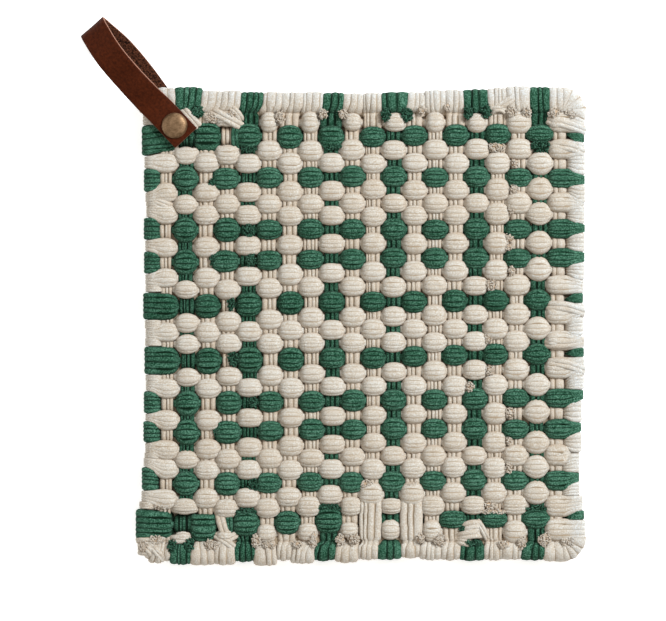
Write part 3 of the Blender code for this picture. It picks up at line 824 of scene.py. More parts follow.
def add_warp_column(tubes, column):
    """Lay one warp bundle from hem to hem, with its turns round both of them."""
    narrow = NARROW_COLUMNS.get(column, {})
    strands = narrow.get("strands", WARP_STRANDS[column % len(WARP_STRANDS)])
    weights = WARP_LEAST_WEIGHT + 0.8 * chance.rand(strands)
    edges = np.concatenate([[0.0], np.cumsum(weights)])
    edges = 2.0 * edges / edges[-1] - 1.0
    column_tint = chance.rand()
    x_centre = CROSSING_X[column] + narrow.get("shift", 0.0) + WARP_PLACE_CHANCE * chance.randn(ROWS)
    half_span, rise = warp_sizes(column)
    hem_layout = {end: strand_layout(strands, 1, HEM_UNEVEN) for end in HEMS}

    for strand in range(strands):
        share = 0.5 * (edges[strand] + edges[strand + 1])
        half = 0.5 * (edges[strand + 1] - edges[strand])
        wander = WARP_WANDER * chance.randn(ROWS)
        points, widths = [], []
        for row in range(ROWS):
            x = x_centre[row] + wander[row] + half_span[row] * WARP_SPREAD * share
            high = rise[row] - WARP_STOOP * share ** 2
            for y, wave in warp_steps(column, row):
                points.append((x, y, MIDDLE_HEIGHT + high * wave))
                widths.append(WARP_OVERLAP * half_span[row] * half)
        for end in HEMS:
            middles, halves = hem_layout[end]
            turn_points, turn_widths = hem_turn(end, column, points, widths, (share, half),
                                                (middles[0, strand], halves[0, strand]))
            if end == "top":
                points, widths = turn_points[::-1] + points, turn_widths[::-1] + widths
            else:
                points, widths = points + turn_points, widths + turn_widths
        tubes.add(np.array(points), (1.0, 0.0, 0.0), np.array(widths), WARP_HALF_HEIGHT,
                  WARP_SIDES, strand_tint(column_tint), WARP_LEVELS, 0.035, WARP_CREASE,
                  free_side(strand, strands))
    for end in HEMS:
        add_hem_heart(tubes, end, column, column_tint)


def hem_facts(end, column):
    """Return where this column's strands pinch together and where they reach the edge."""
    hem = HEMS[end]
    left, right = (from_photo(across, hem["ends"][column])[0]
                   for across in hem["walls"][column:column + 2])
    return {
        "pinch_x": CROSSING_X[column, hem["row"]],
        "pinch": hem["pinch"],
        "edge_x": 0.5 * (left + right),
        "edge": 0.5 * (right - left),
        "reach": abs(from_photo(0.0, hem["ends"][column])[1]),
    }


def hem_turn(end, column, points, widths, inner, outer):
    """Return a warp strand's way over the hem, round the end and back, until it tucks.

    inner and outer are its place across the bundle, and its half width, at the hem's pinch and
    at its very edge.
    """
    hem, facts = HEMS[end], hem_facts(end, column)
    outward = hem["outward"]
    sign = -weft_sign(column, hem["row"])
    start = points[0 if end == "top" else -1]
    start_width = widths[0 if end == "top" else -1]
    reach = facts["reach"] + HEM_FOLD - hem["lobe"] * outer[0] ** 2 + HEM_REACH_CHANCE * chance.randn()
    lift = HEM_LIFT_CHANCE * chance.randn() - HEM_STOOP * outer[0] ** 2
    centre_y = outward * (reach - WARP_HALF_HEIGHT - HEM_RISE)
    run = abs(centre_y - hem["valley"])
    dip = FLOAT_DIP if end == "bottom" and column in FLOAT_COLUMNS else HEM_DIP
    legs = [                # place past the valley, rise, and how far the strands have fanned out
        (-HEM_RUN_IN, max(dip, 1.7), 0.0),
        (0.0, dip, 0.0),
        (0.8, max(dip, 2.1), 0.15),
        (2.0, 3.0, 0.45),
        (0.6 * run, HEM_RISE, 0.8),
    ]

    def place(past, rise, fan, side):
        span = facts["pinch"] + (facts["edge"] - facts["pinch"]) * fan
        share = inner[0] + (outer[0] - inner[0]) * fan
        half = inner[1] + (outer[1] - inner[1]) * fan
        hem_x = (facts["pinch_x"] + (facts["edge_x"] - facts["pinch_x"]) * fan
                 + WARP_SPREAD * span * share)
        risen = MIDDLE_HEIGHT + side * (rise + lift * min(rise / HEM_RISE, 1.0))
        return (hem_x, hem["valley"] + outward * past, risen), HEM_OVERLAP * span * half

    new_points, new_widths = [], []
    for past, rise, fan in legs:
        point, width = place(past, rise, fan, sign)
        new_points.append(point)
        new_widths.append(width)
    for angle in TURN_ANGLES:
        point, width = place(run, 0.0, 0.9 + 0.1 * math.sin(angle), sign)
        new_points.append((point[0], centre_y + outward * HEM_RISE * math.sin(angle),
                           MIDDLE_HEIGHT + sign * (HEM_RISE + lift) * math.cos(angle)))
        new_widths.append(width)
    for past, rise, fan in legs[:0:-1]:
        point, width = place(past, rise, fan, -sign)
        new_points.append(point)
        new_widths.append(width * 1.1)
    new_points.append((start[0], hem["valley"] - outward * HEM_TUCK, MIDDLE_HEIGHT - sign * 0.2))
    new_widths.append(start_width * 0.8)
    return new_points, new_widths


HIDDEN_LEVELS = (4.0, 7.0)      # for a filling that has the painted shade all over and shows only as a dark crease
FILLING_CREASE = 0.95           # it has the painted crease shade all round
HEM_HEART_RINGS = 5
HEM_HEART_HALF_HEIGHT = 1.9
HEM_HEART_END = 3.4             # inside the edge


def add_hem_heart(tubes, end, column, tint):
    """Fill the roll of the hem behind its strands with a tube in painted shade, which shows dark
    between them.
    """
    hem, facts = HEMS[end], hem_facts(end, column)
    span = np.linspace(0.0, 1.0, HEM_HEART_RINGS)
    first = hem["valley"] - hem["outward"] * 1.5
    last = hem["outward"] * (facts["reach"] - HEM_HEART_END)
    x = facts["pinch_x"] + (facts["edge_x"] - facts["pinch_x"]) * span
    heights = np.full(HEM_HEART_RINGS, MIDDLE_HEIGHT)
    path = np.stack([x, first + (last - first) * span, heights], axis=1)
    widths = 0.9 * (facts["pinch"] + (facts["edge"] - facts["pinch"]) * span)
    tubes.add(path, (1.0, 0.0, 0.0), widths, HEM_HEART_HALF_HEIGHT, HEART_SIDES, tint,
              HIDDEN_LEVELS, crease=FILLING_CREASE)


# A dark filling in painted shade inside the weave and its rolled edges, which shows in the gaps
# between bundles: a strip from one end to the other.
FILLINGS = named_rows("start end half high", [
    ((-97.0, -3.5), (94.0, -3.5), 99.0, 0.5),
    ((-99.0, -102.3), (97.0, -102.3), 4.2, 1.7),
    ((-97.0, 97.0), (96.0, 97.0), 4.0, 1.7),
    ((-98.2, -101.0), (-98.2, 94.0), 2.2, 1.8),
    ((95.4, -101.0), (95.4, 95.0), 2.0, 1.8),
])
FILLING_RINGS = 24


def add_filling(tubes, filling):
    """Lay one strip of filling, in painted shade, inside the pad."""
    start, end = (np.array([*filling[key], MIDDLE_HEIGHT]) for key in ("start", "end"))
    path = start + (end - start) * np.linspace(0.0, 1.0, FILLING_RINGS)[:, None]
    axis = np.cross(unit(end - start), (0.0, 0.0, 1.0))
    tubes.add(path, axis, filling["half"], filling["high"], HEART_SIDES, 0.5, HIDDEN_LEVELS,
              0.0, FILLING_CREASE)


CORNER_SPREAD = 1.12        # how much further apart the strands fan than the corner's angles
CORNER_LEGS = ((-2.2, 1.0), (-0.6, 2.6), (1.4, 3.2))    # out from its middle, and the rise


def add_corner(tubes, corner):
    """Fan strands round a corner, from the ends that are tucked in at its middle."""
    centre = from_photo(corner["across"], corner["down"])
    middles, halves = strand_layout(corner["strands"], 1)
    first, last = math.radians(corner["from"]), math.radians(corner["to"])
    for share, half in zip(middles[0], halves[0]):
        angle = first + (last - first) * 0.5 * (1.0 + share * CORNER_SPREAD)
        spacing = abs(last - first) * half * CORNER_SPREAD
        direction = np.array([math.cos(angle), math.sin(angle)])
        aside = np.array([-direction[1], direction[0], 0.0])
        reach = corner["radius"] + CORNER_CHANCE * chance.randn()
        turn_at = reach - WARP_HALF_HEIGHT - HEM_RISE
        legs = [*CORNER_LEGS, (0.6 * turn_at, HEM_RISE)]
        turn = [(turn_at + HEM_RISE * math.sin(around), HEM_RISE * math.cos(around))
                for around in TURN_ANGLES]
        profile = legs + turn + [(out, -rise) for out, rise in reversed(legs)]
        path = [(*(centre + direction * out), MIDDLE_HEIGHT + rise) for out, rise in profile]
        widths = [corner["overlap"] * spacing * max(out, 0.0) + 0.3 for out, _ in profile]
        tubes.add(path, aside, np.array(widths), WARP_HALF_HEIGHT * 1.05, WARP_SIDES,
                  chance.rand(), WARP_LEVELS, 0.03, WARP_CREASE)


# ---------------------------------------------------------------- loose strands and frayed ends

def add_loose_strand(tubes, strand):
    """Lay one strand through its points on a curve, with both of its ends tucked in."""
    marks = np.array([(*from_photo(across, down), height) for across, down, height in strand["path"]])
    marks = np.concatenate([[marks[0] + LOOSE_RUN_OUT * (marks[0] - marks[1])], marks,
                            [marks[-1] + LOOSE_RUN_OUT * (marks[-1] - marks[-2])]])
    marks[[0, -1], 2] -= LOOSE_TUCK
    at = np.linspace(0.0, len(marks) - 1.0, LOOSE_STEPS)
    legs_off = np.abs(at[:, None] - np.arange(len(marks)))
    weights = np.maximum(1.0 - legs_off / LOOSE_SMOOTHING, 0.0)
    path = weights @ marks / weights.sum(axis=1, keepdims=True)
    aside = np.cross(unit(marks[-1] - marks[0]), (0.0, 0.0, 1.0))
    for ply in LOOSE_PLIES:
        tubes.add(path + aside * ply * strand["half"], aside, LOOSE_PLY_WIDTH * strand["half"],
                  LOOSE_PLY_HEIGHT * strand["half"], WEFT_SIDES, chance.rand(), LOOSE_LEVELS,
                  lumps=0.03, crease=WARP_CREASE, free_side=int(math.copysign(1, ply)))


CURL_STEPS = np.radians(np.arange(-20, 201, 44))
CURL_SIDES = 4
CURL_LOW_LEVEL = -6.0
CURL_HIGH_LEVELS = (2.5, 10.0)  # the higher this is, the more painted shade a curl gets
HEAP_RINGS = 7
# How far from the core a heap's painted shade fades out.
HEAP_LEVELS = (0.8, 10.5)


def add_fray(tubes, fray):
    """Heap small curls of yarn where a strip's raw end comes out of the weave."""
    middle = from_photo(fray["across"], fray["down"])
    near_hem = any(hem["outward"] * (middle[1] - hem["valley"]) > -FRAYS_HIGH_WITHIN
                   for hem in HEMS.values())
    half_x = 0.5 * fray["wide"] * PIXEL
    half_y = 0.5 * fray["high"] * PIXEL
    domed = min(half_x, half_y, MOST_DOMED)
    base = (FRAY_HEIGHT_AT_HEM if near_hem else FRAY_HEIGHT) - domed - 0.5
    around = np.linspace(-1.0, 1.0, HEAP_RINGS)
    rounded = np.sqrt(np.maximum(1.0 - around ** 2, 0.02))
    heap = np.stack([middle[0] + half_x * around, np.full(HEAP_RINGS, middle[1]),
                     np.full(HEAP_RINGS, base)], axis=1)
    tubes.add(heap, (0.0, 1.0, 0.0), half_y * rounded, domed * rounded, HEART_SIDES, chance.rand(),
              HEAP_LEVELS, 0.08)
    curls = min(int(CURLS_PER_AREA * fray["wide"] * fray["high"]) + FEWEST_CURLS, MOST_CURLS)
    for _ in range(curls):
        radius = math.sqrt(chance.rand())
        turn = 2.0 * math.pi * chance.rand()
        lean = np.array([radius * math.cos(turn), radius * math.sin(turn), 0.0])
        root = np.array([middle[0] + half_x * lean[0], middle[1] + half_y * lean[1],
                         base + domed * math.sqrt(1.0 - 0.9 * radius ** 2) - 0.1])
        heading = 2.0 * math.pi * chance.rand()
        along = np.array([math.cos(heading), math.sin(heading), 0.0])
        upward = unit(np.array([0.0, 0.0, 1.0]) + 1.2 * lean + 0.35 * chance.randn(3))
        across, height = chance.uniform(0.35, 0.65), chance.uniform(0.30, 0.75)
        path = (root + along * (across * np.cos(CURL_STEPS))[:, None]
                + upward * (height * np.sin(CURL_STEPS))[:, None]
                + np.cross(along, upward) * np.linspace(-0.25, 0.25, len(CURL_STEPS))[:, None])
        tubes.add(path, np.cross(along, upward), FRAY_YARN, FRAY_YARN * 0.85, CURL_SIDES,
                  chance.rand(), (CURL_LOW_LEVEL, chance.uniform(*CURL_HIGH_LEVELS)))


# ---------------------------------------------------------------- the strap and its rivet

STRAP_EDGE_ROUND = 0.35
GRAIN_SIDE, FLESH_SIDE, CUT_EDGE = 0, 1, 2      # the places of its three materials


def make_faceted(name, points, faces, materials, crisp_from, slots=None, uvs=None):
    """Make a piece that is smooth, but crisp where it turns by this many degrees or more."""
    mesh = bpy.data.meshes.new(name)
    mesh.from_pydata((points * MM).tolist(), [], faces)
    for material in materials:
        mesh.materials.append(material)
    if slots is not None:
        mesh.polygons.foreach_set("material_index", slots)
        uv_map = mesh.uv_layers.new(name="strand")
        uv_map.data.foreach_set("uv", np.array(uvs, np.float32).ravel())
    mesh.update(calc_edges=True)
    mesh.shade_smooth()
    mesh.set_sharp_from_angle(angle=math.radians(crisp_from))
    return link(mesh)


def through_stations(column):
    """Return one column of the strap's table, eased through its rows by a smooth curve."""
    values = [station[column] for station in STRAP_STATIONS]
    padded = [values[0]] + values + [values[-1]]
    points = []
    for before, start, end, after in zip(padded, padded[1:], padded[2:], padded[3:]):
        for step in range(STEPS_PER_STATION):
            t = step / STEPS_PER_STATION
            points.append(0.5 * (2.0 * start + (end - before) * t
                                 + (2.0 * before - 5.0 * start + 4.0 * end - after) * t ** 2
                                 + (3.0 * start - before - 3.0 * end + after) * t ** 3))
    return np.array(points + [values[-1]])


def strap_centreline():
    """Return the strip's middle points, and the direction of its width at each."""
    up = np.array([0.0, 0.0, 1.0])
    rivet = np.array([RIVET_X, RIVET_Y, 0.0])
    centres = (rivet + np.outer(through_stations("along"), STRAP_FORWARD)
               + np.outer(through_stations("side"), STRAP_RIGHT)
               + np.outer(through_stations("height"), up))
    roll = np.radians(through_stations("roll"))
    return centres, np.outer(np.cos(roll), STRAP_RIGHT) + np.outer(np.sin(roll), up)


def strap_section():
    """Return the strip's section, with rounded corners, as (sideways, outward) pairs."""
    half_width, half_thickness, cut = STRAP_WIDTH / 2.0, STRAP_THICKNESS / 2.0, STRAP_EDGE_ROUND
    corner = [(half_width - cut + cut * math.cos(angle), half_thickness - cut + cut * math.sin(angle))
              for angle in np.radians([0, 30, 60, 90])]
    face = [(half_width * share, half_thickness) for share in (0.6, 0.2, -0.2, -0.6)]
    upper = corner + face + [(-a, b) for a, b in reversed(corner)]
    return np.array(upper + [(-a, -b) for a, b in upper])


def strap_slots(section):
    """Return the material of the side from each of the section's points to the next."""
    outward = 0.5 * (section + np.roll(section, -1, axis=0))[:, 1]
    faces = np.where(outward > 0.0, GRAIN_SIDE, FLESH_SIDE)
    is_edge = np.abs(outward) < STRAP_THICKNESS / 2.0 - 0.45 * STRAP_EDGE_ROUND
    return np.where(is_edge, CUT_EDGE, faces).tolist()


def build_strap(materials):
    """Sweep the section along the strip: grain outside, flesh inside, and raw cut edges."""
    centres, widths = strap_centreline()
    tangent = unit(np.gradient(centres, axis=0))
    width = unit(widths - tangent * np.sum(widths * tangent, axis=1)[:, None])
    outward = np.cross(tangent, width)
    section = strap_section()
    sides = len(section)
    points = (centres[:, None, :] + width[:, None, :] * section[None, :, :1]
              + outward[:, None, :] * section[None, :, 1:])
    rings = len(centres)
    steps = np.concatenate([[0.0], np.cumsum(np.linalg.norm(np.diff(centres, axis=0), axis=1))])
    around = section[:, 0] + 3.0 * section[:, 1]
    faces = ring_quads(rings, sides).tolist()
    slots = strap_slots(section) * (rings - 1)
    uvs = [(steps[point // sides], around[point % sides]) for face in faces for point in face]
    for ring, order in ((0, -1), (rings - 1, 1)):
        faces.append([ring * sides + side for side in range(sides)][::order])
        slots.append(CUT_EDGE)
        uvs += [(section[side][0], section[side][1]) for side in range(sides)][::order]
    piece = make_faceted("leather_strip", points.reshape(-1, 3), faces, materials, 50.0, slots, uvs)
    dress(piece, "strap_leather", "leather_strap")


CAP_BASE = 12.0
CAP_RADIUS = 5.85
CAP_RIM = 0.6
CAP_RIM_ROUND = 0.3         # how far inside the cap's radius its rolled rim is rounded
CAP_CROWN = 1.35
POST_RADIUS = 2.0
POST_FOOT = 1.0
RIVET_SIDES = 96


def build_cap(material):
    """Turn the post and the cap, whose rim is rolled and whose face is flat with round shoulders."""
    face_radius = CAP_RADIUS - CAP_RIM_ROUND
    dome = [(CAP_RADIUS - 0.35) * math.cos(angle) for angle in np.radians(np.arange(8, 90, 9))]
    profile = [(POST_RADIUS - 0.25, POST_FOOT), (POST_RADIUS, POST_FOOT + 0.25),
               (POST_RADIUS, CAP_BASE), (face_radius, CAP_BASE),
               (CAP_RADIUS - 0.06, CAP_BASE + 0.1), (CAP_RADIUS, CAP_BASE + 0.28),
               (CAP_RADIUS - 0.08, CAP_BASE + 0.46), (face_radius, CAP_BASE + CAP_RIM)]
    for radius in dome:
        share = radius / face_radius
        profile.append((radius, CAP_BASE + CAP_RIM + CAP_CROWN * (1.0 - share ** 4) ** 0.6))
    turn = 2.0 * math.pi * np.arange(RIVET_SIDES) / RIVET_SIDES
    points = [(RIVET_X + radius * math.cos(angle), RIVET_Y + radius * math.sin(angle), height)
              for radius, height in profile for angle in turn]
    faces = ring_quads(len(profile), RIVET_SIDES).tolist()
    last = len(points)
    points.append((RIVET_X, RIVET_Y, CAP_BASE + CAP_RIM + CAP_CROWN))
    top = (len(profile) - 1) * RIVET_SIDES
    faces += [[top + side, top + (side + 1) % RIVET_SIDES, last] for side in range(RIVET_SIDES)]
    faces.append(list(range(RIVET_SIDES))[::-1])
    piece = make_faceted("domed_cap", np.array(points), faces, [material], 60.0)
    dress(piece, "antique_brass", "rivet_cap")


# ---------------------------------------------------------------- materials

class NodeTree:
    """A short way to add and join a material's nodes.

    A value may be a number, a colour or another node's output, and the methods that are named
    for a kind of node return its output.
    """

    def __init__(self, name):
        self.material = bpy.data.materials.new(name)
        self.material.use_nodes = True
        self.tree = self.material.node_tree
        self.shader = self.tree.nodes["Principled BSDF"]

    def join(self, value, socket):
        if isinstance(value, bpy.types.NodeSocket):
            self.tree.links.new(value, socket)
        else:
            socket.default_value = value

    def add(self, kind, inputs=None, **settings):
        node = self.tree.nodes.new(kind)
        for key, value in settings.items():
            setattr(node, key, value)
        for key, value in (inputs or {}).items():
            self.join(value, node.inputs[key])
        return node

    def math(self, operation, first, second):
        node = self.add("ShaderNodeMath", operation=operation)
        self.join(first, node.inputs[0])
        self.join(second, node.inputs[1])
        return node.outputs[0]

    def mix(self, factor, first, second, blend="MIX"):
        node = self.add("ShaderNodeMix", data_type="RGBA", blend_type=blend)
        self.join(factor, node.inputs[0])
        self.join(first, node.inputs[6])
        self.join(second, node.inputs[7])
        return node.outputs[2]

    def ramp(self, factor, *stops):
        node = self.add("ShaderNodeValToRGB", {"Fac": factor})
        elements = node.color_ramp.elements
        while len(elements) < len(stops):
            elements.new(0.5)
        for element, (place, colour) in zip(elements, stops):
            element.position = place
            element.color = colour
        return node.outputs[0]

    def noise(self, vector, scale, detail=3.0, roughness=0.6):
        return self.add("ShaderNodeTexNoise", {"Vector": vector, "Scale": scale, "Detail": detail,
                                               "Roughness": roughness}).outputs[0]

    def stretch(self, vector, scale):
        return self.add("ShaderNodeMapping", {"Vector": vector, "Scale": scale}).outputs[0]

    def place(self):
        return self.add("ShaderNodeTexCoord").outputs["Object"]

    def strand(self):
        return self.add("ShaderNodeUVMap", uv_map="strand").outputs[0]

    def value_of(self, name):
        return self.add("ShaderNodeAttribute", attribute_name=name).outputs["Fac"]

    def bump(self, height, strength, distance, normal=None):
        node = self.add("ShaderNodeBump", {"Height": height, "Strength": strength,
                                           "Distance": distance})
        if normal is not None:
            self.join(normal, node.inputs["Normal"])
        return node.outputs[0]

    def finish(self, colour=None, roughness=None, normal=None, **fixed):
        for value, name in ((colour, "Base Color"), (roughness, "Roughness"), (normal, "Normal")):
            if value is not None:
                self.join(value, self.shader.inputs[name])
        for name, value in fixed.items():
            self.shader.inputs[name.replace("_", " ")].default_value = value
        return self.material


def grey(value):
    """Return a colour without hue; as a factor it may be more than 1."""
    return (value, value, value, 1.0)


# The cotton's colours: its own three, the painted shade deep in the weave, the painted shade of the
# dark crease between two strands, and the painted cool tint of the key light, which the right and
# top hems, facing it most, are multiplied by.  The painted crease shade reaches up to this share of
# a strand's crown.
COTTONS = {
    "cotton_cream": {
        "dark": (0.390, 0.322, 0.246, 1.0), "middle": (0.480, 0.430, 0.361, 1.0),
        "light": (0.572, 0.570, 0.540, 1.0), "weave_shade": (0.400, 0.286, 0.186, 1.0),
        "line": (0.314, 0.246, 0.172, 1.0), "line_reach": 0.20,
        "key_light_tint": (0.965, 1.03, 1.12, 1.0), "sheen": 0.12, "shine": 0.15,
    },
    "cotton_green": {
        "dark": (0.0036, 0.028, 0.0130, 1.0), "middle": (0.0175, 0.074, 0.042, 1.0),
        "light": (0.098, 0.230, 0.162, 1.0), "weave_shade": (0.0008, 0.009, 0.0030, 1.0),
        "line": (0.0012, 0.011, 0.0045, 1.0), "line_reach": 0.50,
        "key_light_tint": grey(1.0), "sheen": 0.03, "shine": 0.05,
    },
}
SHADE_MIDDLE = 0.52         # where the speckle and mottling have the middle colour
SHADE_SPREAD = 0.10         # and how far from it they have the dark one
HEM_RIGHT = 98.9            # how far the two hems with the painted tint of the key light reach from the origin
HEM_TOP = 106.4
KEY_TINT_FROM, KEY_TINT_FULLY = 0.92, 0.97    # as shares of that


def cotton_material(name):
    """Cotton jersey: a fine fuzzy speckle and soft mottling, with painted shade, warm and dark, deep
    in the weave and in the creases, and a painted cool tint of the key light on the right and top
    hems.
    """
    look = COTTONS[name]
    nodes = NodeTree(name)
    place, strand = nodes.place(), nodes.strand()
    speckle = nodes.noise(place, 2000.0, 2.0, 0.7)
    mottle = nodes.noise(place, 260.0, 3.0, 0.6)
    fibres = nodes.noise(nodes.stretch(strand, (0.35, 3.2, 1.0)), 1.0, 3.0, 0.7)
    shade = nodes.math("ADD", nodes.math("MULTIPLY", speckle, 0.70),
                       nodes.math("MULTIPLY", mottle, 0.12))
    shade = nodes.math("ADD", shade, nodes.math("MULTIPLY", fibres, 0.18))
    tinted = nodes.math("ADD", shade, nodes.math("MULTIPLY", nodes.value_of("tint"), 0.06))
    colour = nodes.ramp(tinted, (SHADE_MIDDLE - SHADE_SPREAD, look["dark"]),
                        (SHADE_MIDDLE, look["middle"]),
                        (SHADE_MIDDLE + 1.1 * SHADE_SPREAD, look["light"]))
    # Painted shade: a warm dark colour where a strand lies deep in the weave, and a dark one in the
    # crease between two strands.
    colour = nodes.mix(nodes.value_of("openness"), look["weave_shade"], colour)
    crown = nodes.ramp(nodes.value_of("crown"), (0.02, grey(0.0)), (look["line_reach"], grey(1.0)))
    colour = nodes.mix(crown, look["line"], colour)
    # Painted light: the right and top hems, which face the key light most, take on its cool tint.
    axes = nodes.add("ShaderNodeSeparateXYZ", {"Vector": place}).outputs
    outward = nodes.math("MAXIMUM", nodes.math("DIVIDE", axes["X"], HEM_RIGHT * MM),
                         nodes.math("DIVIDE", axes["Y"], HEM_TOP * MM))
    key_light_tint = nodes.ramp(outward, (KEY_TINT_FROM, grey(1.0)), (KEY_TINT_FULLY, look["key_light_tint"]))
    colour = nodes.mix(1.0, colour, key_light_tint, "MULTIPLY")
    normal = nodes.bump(fibres, 0.15, 0.0005, nodes.bump(speckle, 0.5, 0.0004))
    return nodes.finish(colour, None, normal, Roughness=0.95, Specular_IOR_Level=look["shine"],
                        Sheen_Weight=look["sheen"], Sheen_Roughness=0.6)


def grain_side_material():
    """Waxed leather: a soft cloud of colour, fine pores and a slight pull along the strip."""
    grain = NodeTree("leather_grain_side")
    place, strip = grain.place(), grain.strand()
    pores = grain.add("ShaderNodeTexVoronoi", {"Vector": place, "Scale": 1500.0}).outputs["Distance"]
    cloud = grain.noise(place, 90.0, 4.0, 0.6)
    fine = grain.noise(place, 900.0, 3.0, 0.7)
    pull = grain.noise(grain.stretch(strip, (0.10, 0.9, 1.0)), 1.0, 3.0, 0.6)
    colour = grain.ramp(grain.math("ADD", grain.math("MULTIPLY", cloud, 0.6),
                                   grain.math("MULTIPLY", pull, 0.4)),
                        (0.30, (0.036, 0.0068, 0.0018, 1.0)), (0.70, (0.060, 0.0120, 0.0032, 1.0)))
    speckle = grain.ramp(fine, (0.35, grey(0.62)), (0.65, grey(1.42)))
    colour = grain.mix(0.8, colour, speckle, "MULTIPLY")
    rough = grain.ramp(cloud, (0.3, grey(0.42)), (0.7, grey(0.58)))
    normal = grain.bump(pores, 0.16, 0.0002, grain.bump(fine, 0.2, 0.0003))
    return grain.finish(colour, rough, normal, Specular_IOR_Level=0.06)


def flesh_side_material():
    """The strip's rough inner face: a dark suede with lighter fibres."""
    flesh = NodeTree("leather_flesh_side")
    fibre = flesh.noise(flesh.place(), 1300.0, 4.0, 0.75)
    colour = flesh.ramp(fibre, (0.42, (0.008, 0.0028, 0.0016, 1.0)),
                        (0.62, (0.140, 0.048, 0.024, 1.0)))
    return flesh.finish(colour, None, flesh.bump(fibre, 0.8, 0.0008), Roughness=0.95,
                        Specular_IOR_Level=0.1)


def cut_edge_material():
    """The strip's raw edge, paler than its faces."""
    cut = NodeTree("leather_cut_edge")
    place = cut.place()
    fibre = cut.noise(cut.stretch(cut.strand(), (0.5, 2.0, 1.0)), 1.2, 4.0, 0.7)
    colour = cut.ramp(fibre, (0.3, (0.14, 0.055, 0.032, 1.0)), (0.7, (0.30, 0.15, 0.10, 1.0)))
    return cut.finish(colour, None, cut.bump(cut.noise(place, 1200.0), 0.4, 0.0004),
                      Roughness=0.75, Specular_IOR_Level=0.2)


def brass_material():
    """Antique brass with a fine brushed grain and darker, duller patches."""
    nodes = NodeTree("brushed_antique_brass")
    place = nodes.place()
    brushed = nodes.noise(nodes.stretch(place, (900.0, 5200.0, 900.0)), 1.0, 3.0, 0.7)
    patches = nodes.noise(place, 420.0, 4.0, 0.7)
    blend = nodes.math("ADD", nodes.math("MULTIPLY", brushed, 0.45),
                       nodes.math("MULTIPLY", patches, 0.55))
    colour = nodes.ramp(blend, (0.38, (0.125, 0.074, 0.038, 1.0)),
                        (0.60, (0.310, 0.200, 0.116, 1.0)))
    rough = nodes.ramp(blend, (0.3, grey(0.62)), (0.7, grey(0.50)))
    return nodes.finish(colour, rough, nodes.bump(brushed, 0.12, 0.0002), Metallic=1.0)


# ---------------------------------------------------------------- building the pieces


def dress(piece, slot, *nodes):
    """Fix a piece to the model, in place of these solids."""
    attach(piece, "root")
    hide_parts(*nodes)


def build_weave(cream, green):
    """Build the pad, in pieces by yarn and direction."""
    names = ("weft_cream_upper", "weft_cream_lower", "weft_green", "warp_cream", "warp_green",
             "corner_wraps_cream", "frayed_ends_cream", "frayed_ends_green")
    meshes = {name: TubeMesh() for name in names}
    for row in range(ROWS):
        part = "green" if row in GREEN_ROWS else "cream_upper" if row < ROWS // 2 else "cream_lower"
        add_weft_row(meshes["weft_" + part], row)
    for column in range(COLUMNS):
        add_warp_column(meshes["warp_green" if column in GREEN_COLUMNS else "warp_cream"], column)
    for corner in CORNERS:
        add_corner(meshes["corner_wraps_cream"], corner)
    for filling in FILLINGS:
        add_filling(meshes["corner_wraps_cream"], filling)
    for strand in LOOSE_STRANDS:
        add_loose_strand(meshes["frayed_ends_" + strand["yarn"]], strand)
    for fray in FRAYS:
        add_fray(meshes["frayed_ends_" + fray["yarn"]], fray)
    for name, tubes in meshes.items():
        is_green = "green" in name
        piece = tubes.make(name, green if is_green else cream)
        dress(piece, "cotton_green" if is_green else "cotton_cream", "woven_pad")


# Soft boxes: their place and size in metres, and their power in watts.
STUDIO_LIGHTS = named_rows("name x y z size power", [
    ("key", 1.15, 0.85, 1.25, 0.7, 49.5),
    ("left_fill", -1.30, 0.30, 1.10, 1.2, 5.0),
    ("near_fill", 0.00, -1.30, 1.10, 1.2, 3.0),
])
LIGHT_COLOUR = (0.940, 0.975, 1.0)
SKY_COLOUR = (1.0, 0.935, 0.850, 1.0)
SKY_STRENGTH = 0.47
FLOOR_SIZE = 6.0
FLOOR_GAP = 0.0002
FLOOR_GLOW = 0.56


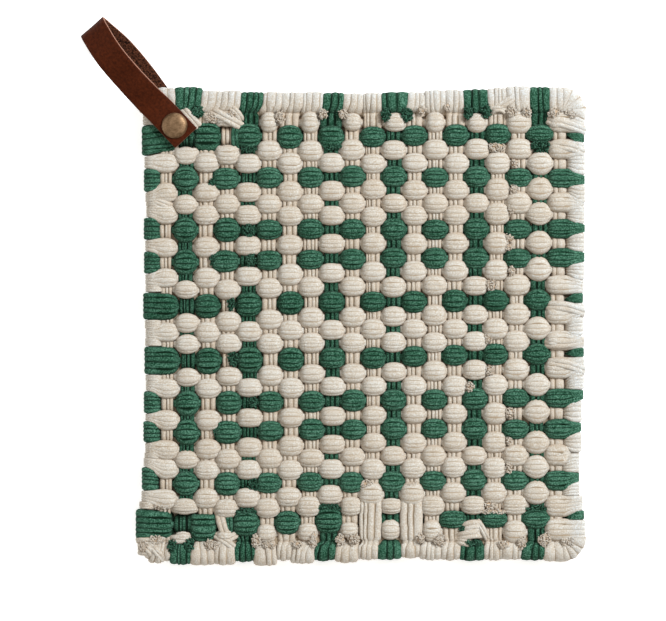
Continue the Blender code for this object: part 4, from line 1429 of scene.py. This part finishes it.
def build_studio():
    """A white light table, soft boxes around it and a dim even sky."""
    bpy.ops.mesh.primitive_plane_add(size=FLOOR_SIZE, location=(0.0, 0.0, -FLOOR_GAP))
    floor = bpy.context.object
    floor.name = "studio_floor"
    floor.data.materials.append(NodeTree("floor_white").finish(
        Base_Color=grey(0.93), Roughness=0.9, Emission_Color=grey(1.0),
        Emission_Strength=FLOOR_GLOW))

    world = bpy.context.scene.world or bpy.data.worlds.new("studio")
    bpy.context.scene.world = world
    world.use_nodes = True
    background = world.node_tree.nodes["Background"]
    background.inputs["Color"].default_value = SKY_COLOUR
    background.inputs["Strength"].default_value = SKY_STRENGTH

    for box in STUDIO_LIGHTS:
        light = bpy.data.lights.new(box["name"], "AREA")
        light.shape = "DISK"
        light.size = box["size"]
        light.energy = box["power"]
        light.color = LIGHT_COLOUR
        lamp = bpy.data.objects.new(box["name"], light)
        lamp.location = (box["x"], box["y"], box["z"])
        lamp.rotation_euler = (-lamp.location).to_track_quat("-Z", "Y").to_euler()
        bpy.context.scene.collection.objects.link(lamp)


CAMERA_HEIGHT = 1.3
PILLOW_TOPS = 0.009         # the height at which the photograph's scale holds


def build_camera():
    """Look straight down, so that a pixel on the pad is as large as in the photograph."""
    camera = bpy.data.cameras.new("camera")
    camera.sensor_fit = "HORIZONTAL"
    view_width = PHOTO_SIZE[0] * PIXEL * MM
    camera.lens = camera.sensor_width * (CAMERA_HEIGHT - PILLOW_TOPS) / view_width
    centre = from_photo(PHOTO_SIZE[0] / 2.0, PHOTO_SIZE[1] / 2.0) * MM
    holder = bpy.data.objects.new("camera", camera)
    holder.location = (centre[0], centre[1], CAMERA_HEIGHT)
    bpy.context.scene.collection.objects.link(holder)
    bpy.context.scene.camera = holder
    bpy.context.scene.view_settings.view_transform = "Standard"


BRASS = brass_material()
build_weave(cotton_material("cotton_cream"), cotton_material("cotton_green"))
build_strap([grain_side_material(), flesh_side_material(), cut_edge_material()])
build_cap(BRASS)
for material_slot in bpy.data.objects["rivet_back"].material_slots:
    material_slot.material = BRASS
build_studio()
build_camera()
